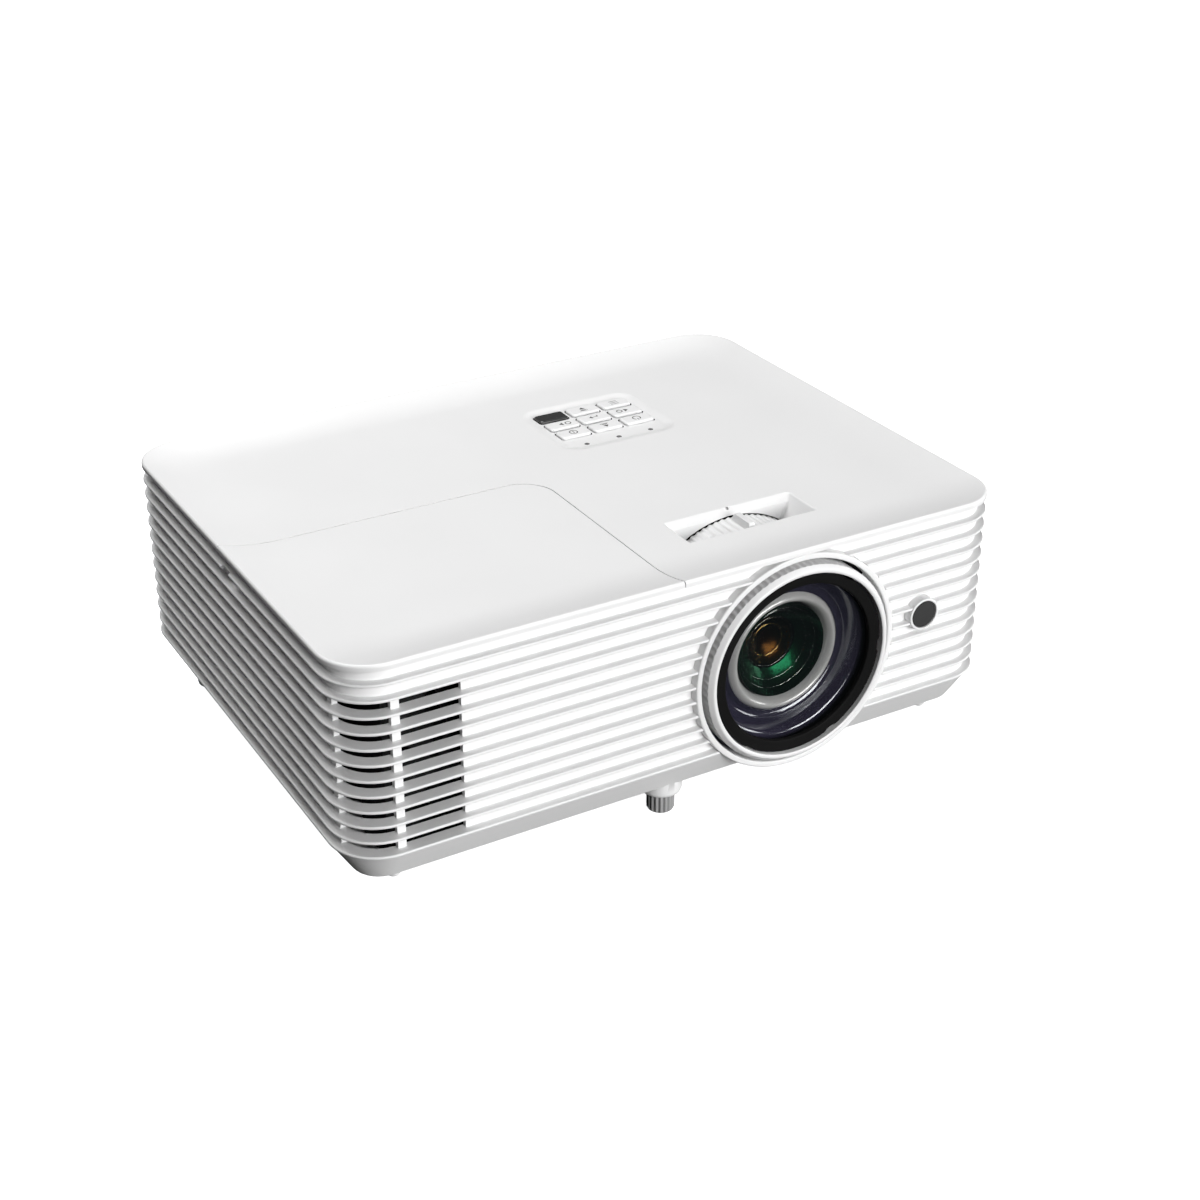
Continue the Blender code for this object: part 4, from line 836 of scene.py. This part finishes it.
def hoop(name, radius, along, thick, look):
    """A thin bright edge round one of the lenses."""
    profile = [(radius + thick * math.cos(a), along + thick * math.sin(a)) for a in
               (math.radians(45 * i) for i in range(8))]
    ring = lathe(name, profile, (LENS_X, 0, LENS_Z), "Y", look, segments=128, closed=True, sharp=60)
    return ring


BOWL_RIM = 4.6
BACK_OF_LENS = FRONT_Y + 24.0
SECOND_RADIUS = 21.6
BOWL_KNOTS = ((38.6, BOWL_RIM), (36.4, 5.2), (34.6, 8.0), (32.6, 12.0), (30.4, 13.2), (28.9, 11.6),
              (27.9, 10.6))
RING_KNOTS = ((27.9, 11.4), (27.2, 10.0), (26.0, 8.8), (24.8, 8.7), (23.4, 10.2), (22.2, 13.0))
SECOND_RIM = 11.0
SECOND_CURVE = 25.5
WELL_RADIUS = 12.4


def make_glass():
    axis = (LENS_X, 0, LENS_Z)
    front = dome(GLASS_RADIUS, GLASS_CURVE, FRONT_Y - 2.7, 24)
    back = dome(GLASS_RADIUS, GLASS_CURVE, FRONT_Y - 0.7, 24)
    lens = lathe("front_element", front + back[::-1], axis, "Y", FRONT_GLASS, segments=128, sharp=60)
    lens.visible_shadow = False
    place_on(lens, "lens_group", "lens_glass", "front_lens")

    knots = [(r, FRONT_Y + y) for r, y in BOWL_KNOTS]
    inside = smooth_profile(knots, 6)
    outside = [(BOWL_KNOTS[-1][0], BACK_OF_LENS), (GLASS_RADIUS, BACK_OF_LENS)]
    outside.append((GLASS_RADIUS, FRONT_Y + BOWL_RIM))
    bowl = lathe("meniscus", inside + outside, axis, "Y", BOWL_GLASS, segments=160, closed=True, sharp=60)
    place_on(bowl, "lens_group", "lens_glass", "inner_barrel")

    knots = [(r, FRONT_Y + y) for r, y in RING_KNOTS]
    inside = smooth_profile(knots, 6)
    outside = [(RING_KNOTS[-1][0], BACK_OF_LENS), (RING_KNOTS[0][0] - GAP, BACK_OF_LENS)]
    ring = lathe("lens_seat", inside + outside, axis, "Y", RING_SATIN, segments=160, closed=True, sharp=60)
    place_on(ring, "lens_group", "lens_black")

    rim = FRONT_Y + SECOND_RIM
    face = hollow(SECOND_RADIUS, SECOND_CURVE, rim, 20, WELL_RADIUS)
    end = face[-1][1]
    outside = [(WELL_RADIUS, end + 14.0), (SECOND_RADIUS, end + 14.0)]
    second = lathe("green_element", face + outside, axis, "Y", GREEN_GLASS, segments=128,
                   closed=True, sharp=60)
    place_on(second, "lens_group", "lens_glass", "second_lens")

    mouth = end + 0.6
    face = hollow(WELL_RADIUS - 1.1, 15.0, mouth + 0.5, 16, 0.4)
    rounded = [(WELL_RADIUS - 1.0, mouth), (WELL_RADIUS - 0.5, mouth), (WELL_RADIUS - 0.3, mouth + 0.3)]
    points = face[::-1] + rounded + [(WELL_RADIUS - 0.3, end + 13.5)]
    third = lathe("amber_element", points, axis, "Y", AMBER_GLASS, segments=96, sharp=60)
    place_on(third, "lens_group", "lens_glass", "third_lens")

    for name, radius, along, thick, look in (
        ("gold_edge", 7.6, mouth + 2.2, 0.12, GOLD),
        ("silver_edge_1", 19.0, rim + 3.0, 0.09, SILVER),
        ("silver_edge_2", 16.4, rim + 5.8, 0.07, SILVER),
        ("silver_edge_3", WELL_RADIUS - 0.7, mouth - 0.1, 0.07, SILVER),
    ):
        edge = hoop(name, radius, along, thick, look)
        place_on(edge, "lens_group", "lens_black")


# ---------------------------------------------------------------- small pieces

def make_front_eye():
    middle = middle_mm("front_eye_bezel")
    axis = (middle.x, 0, middle.z)
    front = FRONT_Y - 0.4
    back = FRONT_Y + INNER
    profile = [(7.7, back), (7.7, front + 0.5), (7.55, front + 0.15), (7.2, front), (6.8, front),
               (6.55, front + 0.2), (6.5, front + 0.5), (6.5, back)]
    ring = lathe("eye_ring", profile, axis, "Y", WHITE, segments=96, closed=True)
    finish_surface(ring)
    place_on(ring, "case", "case_plastic", "front_eye_bezel")
    profile = dome(6.2, 60.0, front + 0.25, 8) + [(6.2, back)]
    window = lathe("eye_window", profile, axis, "Y", SMOKE, segments=96)
    place_on(window, "case", "smoked_window", "front_eye_window")


def key_cap(name, node, look):
    low, high = box_mm(node)
    middle = (low + high) / 2
    top = high.z
    under = COVER_UNDER_Z
    flange = KEY_GAP + 0.35
    levels = [(flange, low.z), (flange, under - 0.9), (0.0, under - 0.9), (0.0, top - 0.85)]
    levels += [(-0.12, top - 0.45), (-0.55, top - 0.12), (-1.0, top)]
    cap = plate(name, KEY_SIZE, 1.5, levels, (middle.x, middle.y), look, steps=6)
    finish_surface(cap, 50)
    return cap


INK_LINE = 0.36
INK_SCALE = 1.35
INK_SINK = 0.05
INK_RAISE = 0.012


def bar(x0, y0, x1, y1):
    return [(x0, y0), (x1, y0), (x1, y1), (x0, y1)]


def ring_band(x, y, radius, start=0.0, end=360.0, steps=24):
    """Quadrilaterals along a round line, which can stop short of a full turn."""
    quads = []
    for step in range(steps):
        a, b = (math.radians(start + (end - start) * (step + more) / steps) for more in (0, 1))
        inner, outer = radius - INK_LINE / 2, radius + INK_LINE / 2
        quads.append([(x + reach * math.cos(angle), y + reach * math.sin(angle))
                      for reach, angle in ((inner, a), (outer, a), (outer, b), (inner, b))])
    return quads


SIGNS = {
    "key_up": [[(-1.1, 0.2), (1.1, 0.2), (0.0, 1.7)], bar(-1.5, -1.3, 1.5, -0.95),
               bar(-1.0, -0.7, 1.0, -0.35)],
    "key_down": [[(-1.1, -0.2), (0.0, -1.7), (1.1, -0.2)], bar(-1.5, 0.95, 1.5, 1.3),
                 bar(-1.0, 0.35, 1.0, 0.7)],
    "key_left": [[(-1.2, 0.0), (0.3, -1.1), (0.3, 1.1)]] + ring_band(2.3, 0.0, 1.0),
    "key_right": [[(1.2, 0.0), (-0.3, 1.1), (-0.3, -1.1)]] + ring_band(-2.3, 0.0, 1.0),
    "key_menu": [bar(-1.6, -1.3, 1.6, -1.0), bar(-1.6, -0.15, 1.6, 0.15), bar(-1.6, 1.0, 1.6, 1.3)],
    "key_enter": [[(-1.9, 0.0), (-0.7, -0.9), (-0.7, 0.9)], bar(-0.8, -0.15, 1.7, 0.15),
                  bar(1.4, 0.1, 1.7, 1.2)],
    "key_info": ring_band(0.0, 0.0, 1.4) + [bar(-0.15, -0.8, 0.15, 0.8)],
    "key_power": ring_band(0.0, 0.0, 1.4, -60.0, 240.0) + [bar(-0.15, -1.9, 0.15, -0.5)],
}


def key_sign(node):
    """The key's printed sign: a thin layer of ink, as one prism for each stroke."""
    high = box_mm(node)[1]
    middle = middle_mm(node)
    points = []
    faces = []
    for stroke in SIGNS[node]:
        flat = [(middle.x + INK_SCALE * x, middle.y + INK_SCALE * y) for x, y in stroke]
        rings = [[(x, y, z) for x, y in flat] for z in (high.z - INK_SINK, high.z + INK_RAISE)]
        start = len(points)
        stroke_points, stroke_faces = bridge(rings, False)
        points += stroke_points
        faces += [tuple(start + i for i in face) for face in stroke_faces]
    return piece(f"{node}_sign", points, faces, PRINT)


def make_keys():
    for node in KEY_NODES:
        cap = key_cap(f"{node}_cap", node, KEY_WHITE)
        place_on(cap, node, "key_plastic", node)
        place_on(key_sign(node), node, "key_plastic")
    window = key_cap("top_window", "top_eye_window", SMOKE)
    place_on(window, "case", "smoked_window", "top_eye_window")


def make_feet():
    for foot in ("front", "rear_left", "rear_right"):
        low, high = box_mm(f"{foot}_foot_knob")
        middle = (low + high) / 2
        profile = [(4.9, low.z), (5.6, low.z + 0.25), (KNOB_RADIUS, low.z + 1.1)]
        profile += [(KNOB_RADIUS, high.z - 0.4), (5.9, high.z), (3.3, high.z), (3.3, low.z + 2.9)]

        def grip(row, angle):
            wave = abs((angle * KNOB_FLUTES / math.tau) % 1.0 - 0.5) * 2
            return 0.75 * (1 - wave ** 2) ** 2 if row in (2, 3) else 0.0

        knob = lathe(f"{foot}_knob", profile, (middle.x, middle.y, 0), "Z", FOOT_GREY,
                     segments=KNOB_FLUTES * 8, depth_at=grip)
        finish_surface(knob, 40)
        place_on(knob, f"{foot}_foot_knob", "foot_plastic", f"{foot}_foot_knob")


# ---------------------------------------------------------------- carried-over nodes

LOOK_OF = {
    "case_plastic": WHITE,
    "drum_plastic": DRUM_WHITE,
    "key_plastic": KEY_WHITE,
    "smoked_window": SMOKE,
    "indicator": LIGHT_PIPE,
    "lens_black": BLACK,
    "lens_glass": FRONT_GLASS,
    "colour_filter": LIGHT_PIPE,
    "engine_alloy": CAST,
    "lamp_plastic": BLACK,
    "reflector": MIRROR,
    "fan_plastic": SHADOW_BLACK,
    "circuit_board": BOARD,
    "inlet_plastic": BLACK,
    "port_steel": STEEL,
    "foot_plastic": FOOT_GREY,
    "plated_steel": STEEL,
}


def dress_frame():
    for part in frame["record"]["subparts"]:
        node = frame["nodes"][part["node"]]
        node.data.materials.clear()
        node.data.materials.append(LOOK_OF[part["material_slot"]])


# ---------------------------------------------------------------- stage

def area_light(name, place, target, size, watts):
    light = bpy.data.lights.new(name, "AREA")
    light.shape = "RECTANGLE"
    light.size, light.size_y = size
    light.energy = watts
    thing = bpy.data.objects.new(name, light)
    thing.location = place
    thing.rotation_euler = (Vector(target) - Vector(place)).to_track_quat("-Z", "Y").to_euler()
    bpy.context.scene.collection.objects.link(thing)
    return thing


def make_world():
    """Even studio light from above, with much less from below the horizon."""
    world = bpy.data.worlds.new("studio")
    world.use_nodes = True
    nodes, links = world.node_tree.nodes, world.node_tree.links
    place = nodes.new("ShaderNodeTexCoord")
    split = nodes.new("ShaderNodeSeparateXYZ")
    links.new(place.outputs["Generated"], split.inputs["Vector"])
    rise = nodes.new("ShaderNodeMapRange")
    rise.inputs["From Min"].default_value = -0.05
    rise.inputs["From Max"].default_value = 0.6
    rise.inputs["To Min"].default_value = 0.05
    rise.inputs["To Max"].default_value = 0.19
    links.new(split.outputs["Z"], rise.inputs["Value"])
    links.new(rise.outputs["Result"], nodes["Background"].inputs["Strength"])
    bpy.context.scene.world = world


def make_stage():
    made, nodes, links = new_material("pale_floor")
    shader = nodes["Principled BSDF"]
    shader.inputs["Base Color"].default_value = (0.9, 0.9, 0.9, 1.0)
    shader.inputs["Roughness"].default_value = 0.9
    shader.inputs["Specular IOR Level"].default_value = 0.0
    shader.inputs["Emission Color"].default_value = (1.0, 1.0, 1.0, 1.0)
    shader.inputs["Emission Strength"].default_value = 1.0
    mesh = bpy.data.meshes.new("floor")
    reach = 9.0
    corners = [(-reach, -reach, 0), (reach, -reach, 0), (reach, reach, 0), (-reach, reach, 0)]
    mesh.from_pydata(corners, [], [(0, 1, 2, 3)])
    mesh.materials.append(made)
    floor = bpy.data.objects.new("floor", mesh)
    bpy.context.scene.collection.objects.link(floor)
    floor.visible_diffuse = False
    floor.visible_glossy = False
    make_world()
    area_light("key", (0.35, -2.5, 0.95), (0.0, -0.1, 0.05), (1.9, 1.2), 67.0)
    area_light("low", (0.35, -1.9, 0.14), (0.0, -0.1, 0.05), (1.7, 0.24), 7.0)
    area_light("side", (2.1, -0.9, 0.35), (0.0, -0.1, 0.06), (0.9, 0.9), 16.0)
    area_light("top", (-0.3, 0.6, 1.5), (0.0, 0.0, 0.1), (1.2, 1.2), 25.0)
    bpy.context.scene.view_settings.view_transform = "Standard"


def make_camera():
    """The view of the reference: low on the left of the lens side, with a short telephoto."""
    camera = bpy.data.cameras.new("camera")
    camera.sensor_width = 36.0
    camera.lens = 59.96
    camera.clip_start = 0.02
    thing = bpy.data.objects.new("camera", camera)
    azimuth = math.radians(-30.02)
    elevation = math.radians(28.05)
    thing.location = (-0.39020, -0.71099, 0.48580)
    level = math.cos(elevation)
    away = Vector((-math.sin(azimuth) * level, math.cos(azimuth) * level, -math.sin(elevation)))
    thing.rotation_mode = "QUATERNION"
    thing.rotation_quaternion = away.to_track_quat("-Z", "Y")
    bpy.context.scene.collection.objects.link(thing)
    bpy.context.scene.camera = thing


dress_frame()
make_shell()
make_top()
make_tray()
make_bezel()
make_focus_ring()
make_retainer()
make_glass()
make_front_eye()
make_keys()
make_feet()
make_stage()
make_camera()
